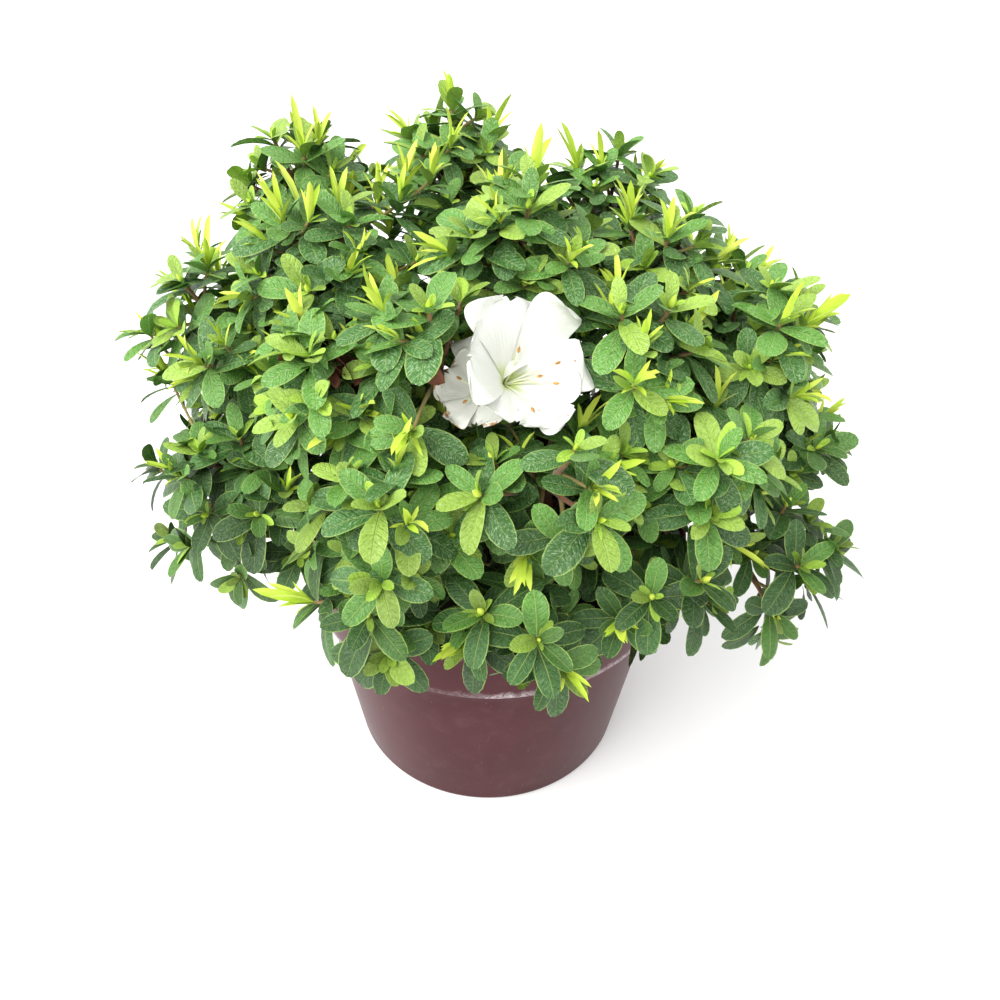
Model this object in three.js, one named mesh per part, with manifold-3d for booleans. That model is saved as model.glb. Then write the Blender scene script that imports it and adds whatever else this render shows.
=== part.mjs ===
// A small evergreen azalea shrub in a round nursery pot: pot, potting soil, a short trunk, forking boughs,
// one spray of leafy twigs at the end of each bough, and one stalk that carries a pair of white flowers.
// Millimetres, +Z up, origin at the middle of the pot's flat underside. The front of the shrub faces -Y.
import * as THREE from "three";
import { mergeVertices } from "three/addons/utils/BufferGeometryUtils.js";
import Module from "manifold-3d";

const wasm = await Module();
wasm.setup();

// ---------------------------------------------------------------- driving dimensions

const GAP = 0.3; // running clearance between neighbouring solids
const UP = new THREE.Vector3(0, 0, 1);
const GOLDEN_ANGLE = Math.PI * (3 - Math.sqrt(5));

const POT = {
  height: 163,
  rimRadius: 116,
  lipHeight: 4,
  lipOverhang: 1.6,
  bandHeight: 41, // the upper band, which stands out from the body below it
  bandFootRadius: 110,
  bodyTopRadius: 105,
  footRadius: 90,
  footRounding: 3,
  stepHeight: 3, // over which the inside widens from body to band
  wall: 1.8,
  floor: 3,
  segments: 32,
};
const DRAIN = { count: 6, radius: 6, ringRadius: 66, sides: 8 };
const SOIL = { belowRim: 17, mound: 5, moundRadius: 26 };
const TRUNK = { height: 52, flareRadius: 13, neckRadius: 8, lean: 3, sides: 9, steps: 6 };

const BOUGH = { rootRadius: 3.7, tipRadius: 2.4, sides: 5, steps: 5 };
const SIDE_BOUGH = { rootRadius: 2.7, tipRadius: 1.9, sides: 5, steps: 4 };
const FORKS = { lowest: 0.42, highest: 1, offAxis: 4.5 }; // main boughs, as shares of the trunk, and mm
const SIDE_FORKS = { first: 0.42, step: 0.18 }; // side boughs, as shares of their bough
const BOUGH_SPLAY = 0.4; // how far a main bough leans out where it leaves the trunk
const BOUGH_HOLD = 0.35; // how stiffly a bough keeps its way at each end, as a share of its length
const HEART_HEIGHT = 205; // the crown's twigs point away from this height on the trunk's line
const LIGHT_PULL = 0.35; // and are drawn up by this share
const POT_CLEARANCE = 1; // leaves and twigs keep this far from the pot and its soil
const FLOWER_CLEARANCE = 1;

// A spray: lengths along its stem are shares of the spray's size, and angles are degrees.
const STEM = { length: 0.95, rootRadius: 2.8, tipRadius: 2.2, sides: 3 };
const SHOOTS = { count: 6, narrowest: 8, widest: 84, turn: 0.7, shortest: 0.85, longest: 1.15 };
const SHOOT_LIFT = 0.18; // how far a shoot's tip is drawn up, as a share of straight out
const LOWEST_SHOOT = 0.55; // where the widest shoot leaves the stem, as a share of it, from its tip
const TWIG = { rootRadius: 1.2, youngShoot: 12 }; // a twig runs on past its leaves as a young shoot
const LEAVES = { count: 4, steepest: 54, step: 11, jitter: 8, smallest: 0.86, largest: 1.14 };
const LEAF = { length: 33, width: 19, thickness: 1.8, spacing: 1.8 };
const BLADE = { widest: 0.62, rib: 0.35, fold: 0.04, droop: 0.08 }; // as shares of a leaf's length
const SHORTER = [1, 0.8, 0.62]; // a shoot or leaf that has no room is tried again at these shares
const CELL_MARGIN = 0.25; // half the least distance between two sprays
const SEED = 12; // another number gives another shrub of the same habit

// The crown, spray by spray: azimuth from +X (front is -90), reach from the trunk's line, height above the
// floor, size (how far the shoots' tips lie from the spray's middle), and the bough that it forks from.
// A spray that names no bough has a main bough of its own. These leave the trunk from low to high as listed.
const SPRAYS = [
  ["front_right", -40, 124, 253, 33, null],
  ["back_left", 147, 140, 262, 36, null],
  ["front_left", 251, 117, 243, 34, null],
  ["back_right", 26, 134, 264, 36, null],
  ["shoulder_left", 184, 129, 276, 34, null],
  ["front_middle", -77, 110, 262, 34, null],
  ["shoulder_right", -12, 123, 280, 34, null],
  ["crown_back_left", 150, 120, 323, 32, null],
  ["crown_back_right", 49, 90, 317, 32, null],
  ["crown_middle", -72, 34, 324, 33, null],
  ["crown_back", 107, 84, 334, 30, "crown_middle"],
  ["crown_left", 191, 86, 310, 32, "crown_back_left"],
  ["crown_right", -8, 78, 312, 31, "shoulder_right"],
  ["shoulder_front_left", 228, 99, 281, 33, "front_left"],
  ["shoulder_front", 254, 86, 303, 31, "front_middle"],
  ["shoulder_front_right", -46, 88, 297, 31, "front_right"],
  ["skirt_left", 206, 134, 214, 35, "shoulder_left"],
  ["skirt_front_left", 249, 124, 199, 31, "front_left"],
  ["skirt_front", -83, 122, 196, 31, "front_middle"],
  ["skirt_front_right", -54, 128, 205, 31, "front_right"],
  ["skirt_far_right", -27, 156, 192, 32, "front_right"],
  ["skirt_right", -8, 146, 224, 34, "shoulder_right"],
  ["back_middle", 88, 124, 272, 37, "crown_back_right"],
  ["skirt_back_right", 35, 140, 204, 36, "back_right"],
  ["skirt_back", 80, 130, 206, 36, "back_right"],
  ["skirt_back_left", 126, 136, 204, 36, "back_left"],
  ["skirt_far_left", 168, 144, 210, 36, "back_left"],
];
const FLOWERS = {
  spray: ["white_flowers", -84, 88, 303, 30, "crown_middle"],
  heads: [
    { shift: [4, -6, 3], facing: [0.25, -0.75, 0.62], radius: 27 },
    { shift: [-10, 2, -5], facing: [-0.45, -0.8, 0.3], radius: 20 },
  ],
};
// A flower's bowl, as shares of its radius: its rim's reach at the notch between two petals, its depth, the
// reach and height of its bend, its wall, and how far its stalk runs up into it.
const COROLLA = {
  petals: 5,
  stepsPerPetal: 3,
  notch: 0.7,
  depth: 0.5,
  bendReach: 0.38,
  bendHeight: 0.31,
  wall: 0.09,
  stalk: 0.2,
};

// ---------------------------------------------------------------- solids and meshes

// A closed three.js geometry as a solid, turned right way out.
function solidOf(geometry) {
  const bare = geometry.clone();
  bare.deleteAttribute("normal");
  bare.deleteAttribute("uv");
  const merged = mergeVertices(bare, 1e-3);
  const build = (triVerts) =>
    new wasm.Manifold(
      new wasm.Mesh({ numProp: 3, vertProperties: merged.attributes.position.array, triVerts }),
    );
  const triVerts = new Uint32Array(merged.index.array);
  const made = build(triVerts);
  return made.volume() < 0 ? build(triVerts.reverse()) : made;
}

// The outer shell of a solid's largest piece, so that loose scraps go and sealed hollows are filled.
function largestPiece(solid) {
  return solid.decompose().reduce((best, piece) => (piece.volume() > best.volume() ? piece : best));
}

function meshOf(name, solid, material) {
  const { numProp, numVert, vertProperties, triVerts } = solid.getMesh();
  const positions = new Float32Array(numVert * 3);
  for (let i = 0; i < numVert; i++) {
    positions.set(vertProperties.subarray(i * numProp, i * numProp + 3), i * 3);
  }
  const geometry = new THREE.BufferGeometry();
  geometry.setAttribute("position", new THREE.BufferAttribute(positions, 3));
  geometry.setIndex(new THREE.BufferAttribute(triVerts, 1));
  geometry.computeVertexNormals();
  const mesh = new THREE.Mesh(geometry, material);
  mesh.name = name;
  return mesh;
}

// A solid turned round Z from its half profile of [radius, height] points.
function turned(profile, segments) {
  const points = profile.map(([radius, height]) => new THREE.Vector2(radius, height));
  return solidOf(new THREE.LatheGeometry(points, segments).rotateX(Math.PI / 2));
}

// A round limb that follows a curve and tapers: a cylinder whose rings are laid along the curve.
function limb(curve, radiusAt, sides, steps) {
  const geometry = new THREE.CylinderGeometry(1, 1, 1, sides, steps);
  const frames = curve.computeFrenetFrames(steps, false);
  const position = geometry.getAttribute("position");
  for (let i = 0; i < position.count; i++) {
    const step = Math.round((position.getY(i) + 0.5) * steps);
    const radius = radiusAt(step / steps);
    const point = curve
      .getPoint(step / steps)
      .addScaledVector(frames.normals[step], radius * position.getX(i))
      .addScaledVector(frames.binormals[step], radius * position.getZ(i));
    position.setXYZ(i, point.x, point.y, point.z);
  }
  return solidOf(geometry);
}

const taper = (root, tip) => (t) => root + (tip - root) * t;

// A straight three-sided twig that tapers to a point.
function twig(from, to, rootRadius) {
  const along = to.clone().sub(from).normalize();
  const corners = [0, 1, 2].map((i) =>
    from.clone().addScaledVector(cone(along, Math.PI / 2, (i / 3) * 2 * Math.PI), rootRadius),
  );
  const geometry = new THREE.BufferGeometry().setFromPoints([...corners, to]);
  geometry.setIndex([0, 2, 1, 0, 1, 3, 1, 2, 3, 2, 0, 3]);
  return solidOf(geometry);
}

// A leaf as eight flat faces: pointed at its root and tip, widest past its middle, and thickest at
// its rib near the root. It grows from the root along `along`, its upper face looks to `face`, its sides
// stand a little above its middle line and its tip droops.
function blade(root, along, face, { length, width, thickness }) {
  const side = new THREE.Vector3().crossVectors(face, along).normalize();
  const lift = new THREE.Vector3().crossVectors(along, side).normalize();
  const at = (forward, sideways, up) =>
    root
      .clone()
      .addScaledVector(along, forward * length)
      .addScaledVector(side, sideways * width)
      .addScaledVector(lift, up);
  const corners = [
    at(0, 0, 0),
    at(BLADE.widest, -0.5, BLADE.fold * length),
    at(1, 0, -BLADE.droop * length),
    at(BLADE.widest, 0.5, BLADE.fold * length),
    at(BLADE.rib, 0, thickness / 2),
    at(BLADE.rib, 0, -thickness / 2),
  ];
  const geometry = new THREE.BufferGeometry().setFromPoints(corners);
  geometry.setIndex([0, 4, 1, 1, 4, 2, 2, 4, 3, 3, 4, 0, 0, 1, 5, 1, 2, 5, 2, 3, 5, 3, 0, 5]);
  return solidOf(geometry);
}

// A seed for each name.
function seedOf(name) {
  return [...name].reduce((sum, letter) => (sum * 31 + letter.codePointAt(0)) >>> 0, SEED);
}

// The same run of numbers from 0 to 1 each time, from a linear congruential rule.
function seeded(seed) {
  let state = seed >>> 0;
  return () => {
    state = (Math.imul(state, 1664525) + 1013904223) >>> 0;
    return state / 2 ** 32;
  };
}

// A unit direction at `polar` from `axis`, turned `around` it.
function cone(axis, polar, around) {
  const guide = Math.abs(axis.z) < 0.9 ? UP : new THREE.Vector3(1, 0, 0);
  const u = new THREE.Vector3().crossVectors(guide, axis).normalize();
  const v = new THREE.Vector3().crossVectors(axis, u);
  return axis
    .clone()
    .multiplyScalar(Math.cos(polar))
    .addScaledVector(u, Math.sin(polar) * Math.cos(around))
    .addScaledVector(v, Math.sin(polar) * Math.sin(around))
    .normalize();
}

// ---------------------------------------------------------------- pot and soil

const soilTop = POT.height - SOIL.belowRim;
const bandFoot = POT.height - POT.bandHeight;
const wallTop = POT.rimRadius - POT.lipOverhang;

// The inside of the pot's wall, from its floor to its mouth, `inset` further in.
const inside = (inset) =>
  [
    [POT.footRadius, POT.floor],
    [POT.bodyTopRadius, bandFoot - POT.wall],
    [POT.bandFootRadius, bandFoot + POT.stepHeight],
    [wallTop, POT.height],
  ].map(([radius, height]) => [radius - POT.wall - inset, height]);

function potSolid() {
  const shell = turned(
    [
      [0, 0],
      [POT.footRadius - POT.footRounding, 0],
      [POT.footRadius, POT.footRounding],
      [POT.bodyTopRadius, bandFoot],
      [POT.bandFootRadius, bandFoot + 1],
      [wallTop, POT.height - POT.lipHeight],
      [POT.rimRadius, POT.height - POT.lipHeight],
      [POT.rimRadius, POT.height],
      ...inside(0).reverse(),
      [0, POT.floor],
    ],
    POT.segments,
  );
  const drains = Array.from({ length: DRAIN.count }, (_, i) => {
    const around = ((i + 0.5) / DRAIN.count) * 2 * Math.PI;
    const hole = new THREE.CylinderGeometry(DRAIN.radius, DRAIN.radius, 4 * POT.floor, DRAIN.sides);
    hole.rotateX(Math.PI / 2);
    hole.translate(DRAIN.ringRadius * Math.cos(around), DRAIN.ringRadius * Math.sin(around), 0);
    return solidOf(hole);
  });
  return drains.reduce((pot, hole) => pot.subtract(hole), shell);
}

// Potting soil: the inside of the pot, cut off below the rim and heaped a little at the trunk.
function soilSolid() {
  const [floor, bodyTop, bandInside, mouth] = inside(GAP);
  const share = (soilTop - bandInside[1]) / (mouth[1] - bandInside[1]);
  const edge = bandInside[0] + share * (mouth[0] - bandInside[0]);
  return turned(
    [
      [0, floor[1] + GAP],
      [floor[0], floor[1] + GAP],
      bodyTop,
      bandInside,
      [edge, soilTop],
      [SOIL.moundRadius, soilTop + SOIL.mound],
      [0, soilTop + SOIL.mound],
    ],
    POT.segments,
  );
}

// The space that pot and soil take, `clear` larger all round.
function potSpace(clear) {
  const mouth = wallTop - POT.wall - clear;
  return turned(
    [
      [0, -clear],
      [POT.footRadius + clear, -clear],
      [POT.bodyTopRadius + clear, bandFoot - clear],
      [POT.rimRadius + clear, bandFoot],
      [POT.rimRadius + clear, POT.height + clear],
      [mouth, POT.height + clear],
      [mouth, soilTop + clear],
      [SOIL.moundRadius, soilTop + SOIL.mound + clear],
      [0, soilTop + SOIL.mound + clear],
    ],
    POT.segments,
  );
}

// ---------------------------------------------------------------- trunk and boughs

const trunkFoot = soilTop + SOIL.mound + GAP;
const trunkCurve = new THREE.QuadraticBezierCurve3(
  new THREE.Vector3(0, 0, trunkFoot),
  new THREE.Vector3(0, 0, trunkFoot + TRUNK.height / 2),
  new THREE.Vector3(TRUNK.lean, -TRUNK.lean, trunkFoot + TRUNK.height),
);

function trunkSolid(grown) {
  const flare = (t) => TRUNK.neckRadius + (TRUNK.flareRadius - TRUNK.neckRadius) * (1 - t) ** 3;
  return limb(trunkCurve, (t) => flare(t) + grown, TRUNK.sides, TRUNK.steps);
}

// A spray's middle, and the way that its shoots face: away from the crown's heart, lifted to the light.
function sprayAt([name, azimuth, reach, height, size, carriedBy]) {
  const turn = THREE.MathUtils.degToRad(azimuth);
  const middle = new THREE.Vector3(reach * Math.cos(turn), reach * Math.sin(turn), height);
  const out = middle.clone().sub(new THREE.Vector3(0, 0, HEART_HEIGHT)).normalize();
  const facing = out.addScaledVector(UP, LIGHT_PULL).normalize();
  return { name, middle, facing, size, carriedBy, random: seeded(seedOf(name)) };
}

const sprays = SPRAYS.map(sprayAt);
const flowers = sprayAt(FLOWERS.spray);
const carried = [...sprays, flowers];

// A bough's line: it starts out along `way` and arrives along the way that its spray faces.
function boughCurve(start, way, spray) {
  const end = spray.middle.clone().addScaledVector(spray.facing, -STEM.length * spray.size);
  const hold = BOUGH_HOLD * start.distanceTo(end);
  const afterStart = start.clone().addScaledVector(way, hold);
  const beforeEnd = end.clone().addScaledVector(spray.facing, -hold);
  return new THREE.CubicBezierCurve3(start, afterStart, beforeEnd, end);
}

// Main boughs leave the trunk outwards, and the side boughs of one bough fork from it one after the other.
const boughs = new Map();
const mainSprays = carried.filter((spray) => !spray.carriedBy);
mainSprays.forEach((spray, i) => {
  const share = THREE.MathUtils.lerp(FORKS.lowest, FORKS.highest, i / (mainSprays.length - 1));
  const level = new THREE.Vector3(spray.middle.x, spray.middle.y, 0).normalize();
  const start = trunkCurve.getPoint(share).addScaledVector(level, FORKS.offAxis);
  const way = spray.middle.clone().sub(start).normalize().addScaledVector(level, BOUGH_SPLAY).normalize();
  boughs.set(spray.name, { curve: boughCurve(start, way, spray), sizes: BOUGH, parent: null });
});
for (const [name, parent] of [...boughs]) {
  const forks = carried.filter((spray) => spray.carriedBy === name);
  forks.forEach((spray, i) => {
    const share = SIDE_FORKS.first + SIDE_FORKS.step * i;
    const start = parent.curve.getPoint(share);
    const curve = boughCurve(start, parent.curve.getTangent(share), spray);
    boughs.set(spray.name, { curve, sizes: SIDE_BOUGH, parent });
  });
}

function boughSolid({ curve, sizes }, grown) {
  const radius = taper(sizes.rootRadius, sizes.tipRadius);
  return limb(curve, (t) => radius(t) + grown, sizes.sides, sizes.steps);
}

// A bough as it leaves its parent, cut back to a clearance from it.
function trimmedBough(bough) {
  const parent = bough.parent ? boughSolid(bough.parent, GAP) : trunkSolid(GAP);
  return largestPiece(boughSolid(bough, 0).subtract(parent));
}

// ---------------------------------------------------------------- foliage

// The corners of a solid, as points.
function cornersOf(solid) {
  const { numProp, numVert, vertProperties } = solid.getMesh();
  return Array.from({ length: numVert }, (_, i) =>
    new THREE.Vector3().fromArray(vertProperties, i * numProp),
  );
}

// A spray's stem runs from just past its bough's tip to the spray's middle.
const stemStart = ({ middle, facing, size }) =>
  middle.clone().addScaledVector(facing, GAP - STEM.length * size);

function stemSolid(spray) {
  const line = new THREE.LineCurve3(stemStart(spray), spray.middle);
  return limb(line, taper(STEM.rootRadius, STEM.tipRadius), STEM.sides, 1);
}

// The directions and sizes of a spray's leafy shoots: golden-angle steps round its facing, wider with each
// step, with the tips lifted. The wider ones leave the stem lower.
function shootPlans(spray) {
  return Array.from({ length: SHOOTS.count }, (_, i) => {
    const share = i / (SHOOTS.count - 1);
    const polar = THREE.MathUtils.lerp(SHOOTS.narrowest, SHOOTS.widest, Math.sqrt(share));
    const around = i * GOLDEN_ANGLE + SHOOTS.turn * spray.random();
    const out = cone(spray.facing, THREE.MathUtils.degToRad(polar), around);
    out.addScaledVector(UP, SHOOT_LIFT).normalize();
    const reach = spray.size * THREE.MathUtils.lerp(SHOOTS.shortest, SHOOTS.longest, spray.random());
    const from = spray.middle.clone().lerp(stemStart(spray), LOWEST_SHOOT * share);
    return { out, reach, from, leaves: leafPlans(spray) };
  });
}

// The turn, spread and size of each leaf of a shoot: golden-angle steps round it, flatter with each step.
function leafPlans(spray) {
  const first = 2 * Math.PI * spray.random();
  return Array.from({ length: LEAVES.count }, (_, i) => ({
    around: first + i * GOLDEN_ANGLE,
    spread: THREE.MathUtils.degToRad(LEAVES.steepest + LEAVES.step * i + LEAVES.jitter * spray.random()),
    grown: THREE.MathUtils.lerp(LEAVES.smallest, LEAVES.largest, spray.random()),
  }));
}

function shootFrom({ out, reach, from }, spray, share) {
  const tip = spray.middle.clone().addScaledVector(out, reach * share);
  const way = tip.clone().sub(from).normalize();
  const end = tip.clone().addScaledVector(way, TWIG.youngShoot);
  return { tip, way, solid: twig(from, end, TWIG.rootRadius) };
}

// The i-th leaf of a shoot, each set lower than the last.
function leafFrom({ around, spread, grown }, { tip, way }, i, share) {
  const root = tip.clone().addScaledVector(way, -LEAF.spacing * i);
  const scale = grown * share;
  const sizes = { length: LEAF.length * scale, width: LEAF.width * scale, thickness: LEAF.thickness };
  return { solid: blade(root, cone(way, spread, around), way, sizes) };
}

// What `grow` makes at the largest share of its size that has room, or nothing.
function grownToFit(grow, hasRoom) {
  return SHORTER.map(grow).find((made) => hasRoom(made.solid));
}

// A funnel-shaped flower with its petals joined at the throat: a turned bowl whose rim is cut into lobes,
// with a notch at the first of the steps round each petal.
function corolla(throat, facing, radius) {
  const { petals, stepsPerPetal, notch, depth, bendReach, bendHeight, wall } = COROLLA;
  const profile = [
    [0, -wall],
    [bendReach, bendHeight - wall],
    [1, depth - wall],
    [1, depth],
    [bendReach, bendHeight],
    [0, 0],
  ].map(([share, height]) => new THREE.Vector2(share * radius, height * radius));
  const bowl = new THREE.LatheGeometry(profile, stepsPerPetal * petals);
  const position = bowl.getAttribute("position");
  for (let i = 0; i < position.count; i++) {
    const atNotch = Math.floor(i / profile.length) % stepsPerPetal === 0;
    const atRim = profile[i % profile.length].x === radius;
    const reach = atNotch && atRim ? notch : 1;
    position.setX(i, position.getX(i) * reach);
    position.setZ(i, position.getZ(i) * reach);
  }
  bowl.applyQuaternion(new THREE.Quaternion().setFromUnitVectors(new THREE.Vector3(0, 1, 0), facing));
  bowl.translate(throat.x, throat.y, throat.z);
  return solidOf(bowl);
}

// Two open flowers on one forked stalk, `clear` larger all round.
function flowerSolid(clear) {
  const fork = stemStart(flowers).lerp(flowers.middle, 0.5);
  return FLOWERS.heads.reduce((grown, { shift, facing, radius }) => {
    const axis = new THREE.Vector3(...facing).normalize();
    const throat = flowers.middle.clone().add(new THREE.Vector3(...shift));
    const stalkEnd = throat.clone().addScaledVector(axis, COROLLA.stalk * radius);
    const stalk = twig(fork, stalkEnd, STEM.rootRadius + clear);
    return grown.add(stalk).add(corolla(throat.addScaledVector(axis, -clear), axis, radius + clear));
  }, stemSolid(flowers));
}

// What leaves and twigs keep out of: the pot, the trunk, the boughs and the flowers, each a little larger.
const keepOut = [...boughs.values()].reduce(
  (space, bough) => space.add(boughSolid(bough, GAP)),
  potSpace(POT_CLEARANCE).add(trunkSolid(GAP)).add(flowerSolid(FLOWER_CLEARANCE)),
);

// True if the solid is on its own spray's side of the plane half way to every other spray, and touches
// nothing to keep out of. The planes are shifted by the sprays' sizes, as in a power diagram.
function fits(solid, own) {
  const corners = cornersOf(solid);
  for (const other of carried) {
    if (other === own) continue;
    const between = other.middle.clone().sub(own.middle);
    const distance = between.length();
    const share = (distance ** 2 + own.size ** 2 - other.size ** 2) / (2 * distance);
    between.normalize();
    const limit = share - CELL_MARGIN;
    if (corners.some((corner) => corner.clone().sub(own.middle).dot(between) > limit)) return false;
  }
  return solid.intersect(keepOut).isEmpty();
}

// True if the solid crosses none of the others.
const apart = (solid, others) => others.every((other) => other.intersect(solid).isEmpty());

// A spray's stem, its shoots, and each leaf that crosses no other leaf and no other shoot.
function foliageSolid(spray) {
  const stem = stemSolid(spray);
  const shoots = [];
  for (const plan of shootPlans(spray)) {
    const shoot = grownToFit(
      (share) => shootFrom(plan, spray, share),
      (solid) => fits(solid, spray),
    );
    if (shoot) shoots.push({ ...shoot, leaves: plan.leaves });
  }
  const leaves = [];
  for (const shoot of shoots) {
    const others = [stem, ...shoots.filter((other) => other !== shoot).map((other) => other.solid)];
    shoot.leaves.forEach((plan, i) => {
      const leaf = grownToFit(
        (share) => leafFrom(plan, shoot, i, share),
        (solid) => fits(solid, spray) && apart(solid, others) && apart(solid, leaves),
      );
      if (leaf) leaves.push(leaf.solid);
    });
  }
  const pieces = [stem, ...shoots.map((shoot) => shoot.solid), ...leaves];
  return largestPiece(pieces.reduce((grown, piece) => grown.add(piece)));
}

// ---------------------------------------------------------------- the shrub

const finish = (color, roughness) => new THREE.MeshStandardMaterial({ color, roughness, metalness: 0 });
const MATERIALS = {
  pot: finish("#6d3a4b", 0.5),
  soil: finish("#2b211d", 0.95),
  bark: finish("#5b3d2e", 0.85),
  leaf: finish("#4d8a3c", 0.5),
  petal: finish("#f7f7f1", 0.6),
};

const shrub = new THREE.Group();
shrub.add(meshOf("pot", potSolid(), MATERIALS.pot));
shrub.add(meshOf("soil", soilSolid(), MATERIALS.soil));
shrub.add(meshOf("trunk", trunkSolid(0), MATERIALS.bark));
for (const [name, bough] of boughs) {
  shrub.add(meshOf("bough_" + name, trimmedBough(bough), MATERIALS.bark));
}
for (const spray of sprays) {
  shrub.add(meshOf("foliage_" + spray.name, foliageSolid(spray), MATERIALS.leaf));
}
shrub.add(meshOf(flowers.name, flowerSolid(0), MATERIALS.petal));

export default shrub;
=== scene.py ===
"""A small evergreen azalea in its nursery pot, dressed in bark, twigs, leaves, petals, soil and plastic round
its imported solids.

The growth rule works in millimetres, in the frame of the solids: +Z up, origin under the middle of the pot,
front towards -Y. Meshes are made in metres.
"""

import math

import bpy
import numpy as np
from bpy.props import FloatProperty, FloatVectorProperty, PointerProperty
from mathutils import Matrix


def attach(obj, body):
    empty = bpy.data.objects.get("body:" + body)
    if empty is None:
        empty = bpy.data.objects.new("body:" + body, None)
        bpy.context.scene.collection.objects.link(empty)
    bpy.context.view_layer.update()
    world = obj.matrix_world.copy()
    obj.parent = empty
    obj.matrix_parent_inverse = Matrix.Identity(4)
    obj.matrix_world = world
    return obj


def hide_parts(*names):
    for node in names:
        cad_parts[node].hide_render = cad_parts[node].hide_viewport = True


bl_info = {
    "name": "Potted azalea",
    "version": (1, 0, 0),
    "blender": (4, 5, 0),
    "location": "View3D > Sidebar > Azalea",
    "description": "Dresses a potted azalea shrub in bark, twigs, leaves, petals, soil and plastic",
    "category": "Add Mesh",
}

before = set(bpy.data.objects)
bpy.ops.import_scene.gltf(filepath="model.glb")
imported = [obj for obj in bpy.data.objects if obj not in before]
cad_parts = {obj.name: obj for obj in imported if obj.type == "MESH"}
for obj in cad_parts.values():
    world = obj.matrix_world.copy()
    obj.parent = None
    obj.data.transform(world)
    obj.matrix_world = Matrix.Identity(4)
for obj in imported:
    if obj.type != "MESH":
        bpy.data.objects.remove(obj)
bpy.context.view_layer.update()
MM = 0.001

# ---------------------------------------------------------------- the growth rule, as the solids follow it

UP = np.array([0.0, 0.0, 1.0])
GOLDEN_ANGLE = math.pi * (3 - math.sqrt(5))
GAP = 0.3

POT_HEIGHT = 163.0
RIM_RADIUS = 116.0
LIP_HEIGHT = 4.0
LIP_OVERHANG = 1.6
BAND_HEIGHT = 41.0
BAND_FOOT_RADIUS = 110.0
BODY_TOP_RADIUS = 105.0
FOOT_RADIUS = 90.0
FOOT_ROUNDING = 3.0
STEP_HEIGHT = 3.0
POT_WALL = 1.8
POT_FLOOR = 3.0
DISH = 1.2
DRAINS, DRAIN_RADIUS, DRAIN_RING = 6, 6.0, 66.0
SOIL_BELOW_RIM = 17.0
SOIL_MOUND = 5.0
MOUND_RADIUS = 26.0
CHIPS = 900

TRUNK_HEIGHT, TRUNK_FLARE, TRUNK_NECK, TRUNK_LEAN = 52.0, 13.0, 8.0, 3.0
BOUGH_RADII = (3.7, 2.4)
SIDE_BOUGH_RADII = (2.7, 1.9)
LOWEST_FORK, HIGHEST_FORK, FORK_OFF_AXIS = 0.42, 1.0, 4.5
FIRST_SIDE_FORK, SIDE_FORK_STEP = 0.42, 0.18
BOUGH_SPLAY = 0.4
BOUGH_HOLD = 0.35
HEART_HEIGHT = 205.0
LIGHT_PULL = 0.35

STEM_LENGTH = 0.95
SHOOTS, NARROWEST_SHOOT, WIDEST_SHOOT, SHOOT_TURN = 6, 8.0, 84.0, 0.7
SHORTEST_SHOOT, LONGEST_SHOOT, SHOOT_LIFT, LOWEST_SHOOT = 0.85, 1.15, 0.18, 0.55
CAD_LEAVES = 4
YOUNG_SHOOT = 12.0
SHORTER = (1.0, 0.8, 0.62)
CELL_MARGIN = 0.25
SEED = 12

# Spray by spray: azimuth, reach from the trunk's line, height, size, and the bough that it forks from.
SPRAYS = [
    ("front_right", -40, 124, 253, 33, None),
    ("back_left", 147, 140, 262, 36, None),
    ("front_left", 251, 117, 243, 34, None),
    ("back_right", 26, 134, 264, 36, None),
    ("shoulder_left", 184, 129, 276, 34, None),
    ("front_middle", -77, 110, 262, 34, None),
    ("shoulder_right", -12, 123, 280, 34, None),
    ("crown_back_left", 150, 120, 323, 32, None),
    ("crown_back_right", 49, 90, 317, 32, None),
    ("crown_middle", -72, 34, 324, 33, None),
    ("crown_back", 107, 84, 334, 30, "crown_middle"),
    ("crown_left", 191, 86, 310, 32, "crown_back_left"),
    ("crown_right", -8, 78, 312, 31, "shoulder_right"),
    ("shoulder_front_left", 228, 99, 281, 33, "front_left"),
    ("shoulder_front", 254, 86, 303, 31, "front_middle"),
    ("shoulder_front_right", -46, 88, 297, 31, "front_right"),
    ("skirt_left", 206, 134, 214, 35, "shoulder_left"),
    ("skirt_front_left", 249, 124, 199, 31, "front_left"),
    ("skirt_front", -83, 122, 196, 31, "front_middle"),
    ("skirt_front_right", -54, 128, 205, 31, "front_right"),
    ("skirt_far_right", -27, 156, 192, 32, "front_right"),
    ("skirt_right", -8, 146, 224, 34, "shoulder_right"),
    ("back_middle", 88, 124, 272, 37, "crown_back_right"),
    ("skirt_back_right", 35, 140, 204, 36, "back_right"),
    ("skirt_back", 80, 130, 206, 36, "back_right"),
    ("skirt_back_left", 126, 136, 204, 36, "back_left"),
    ("skirt_far_left", 168, 144, 210, 36, "back_left"),
]
FLOWER_SPRAY = ("white_flowers", -84, 88, 303, 30, "crown_middle")

SOIL_TOP = POT_HEIGHT - SOIL_BELOW_RIM
BAND_FOOT = POT_HEIGHT - BAND_HEIGHT
WALL_TOP = RIM_RADIUS - LIP_OVERHANG
TRUNK_FOOT = SOIL_TOP + SOIL_MOUND + GAP


def unit(vectors):
    """Vectors divided by their lengths, along the last axis."""
    return vectors / np.linalg.norm(vectors, axis=-1, keepdims=True)


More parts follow.
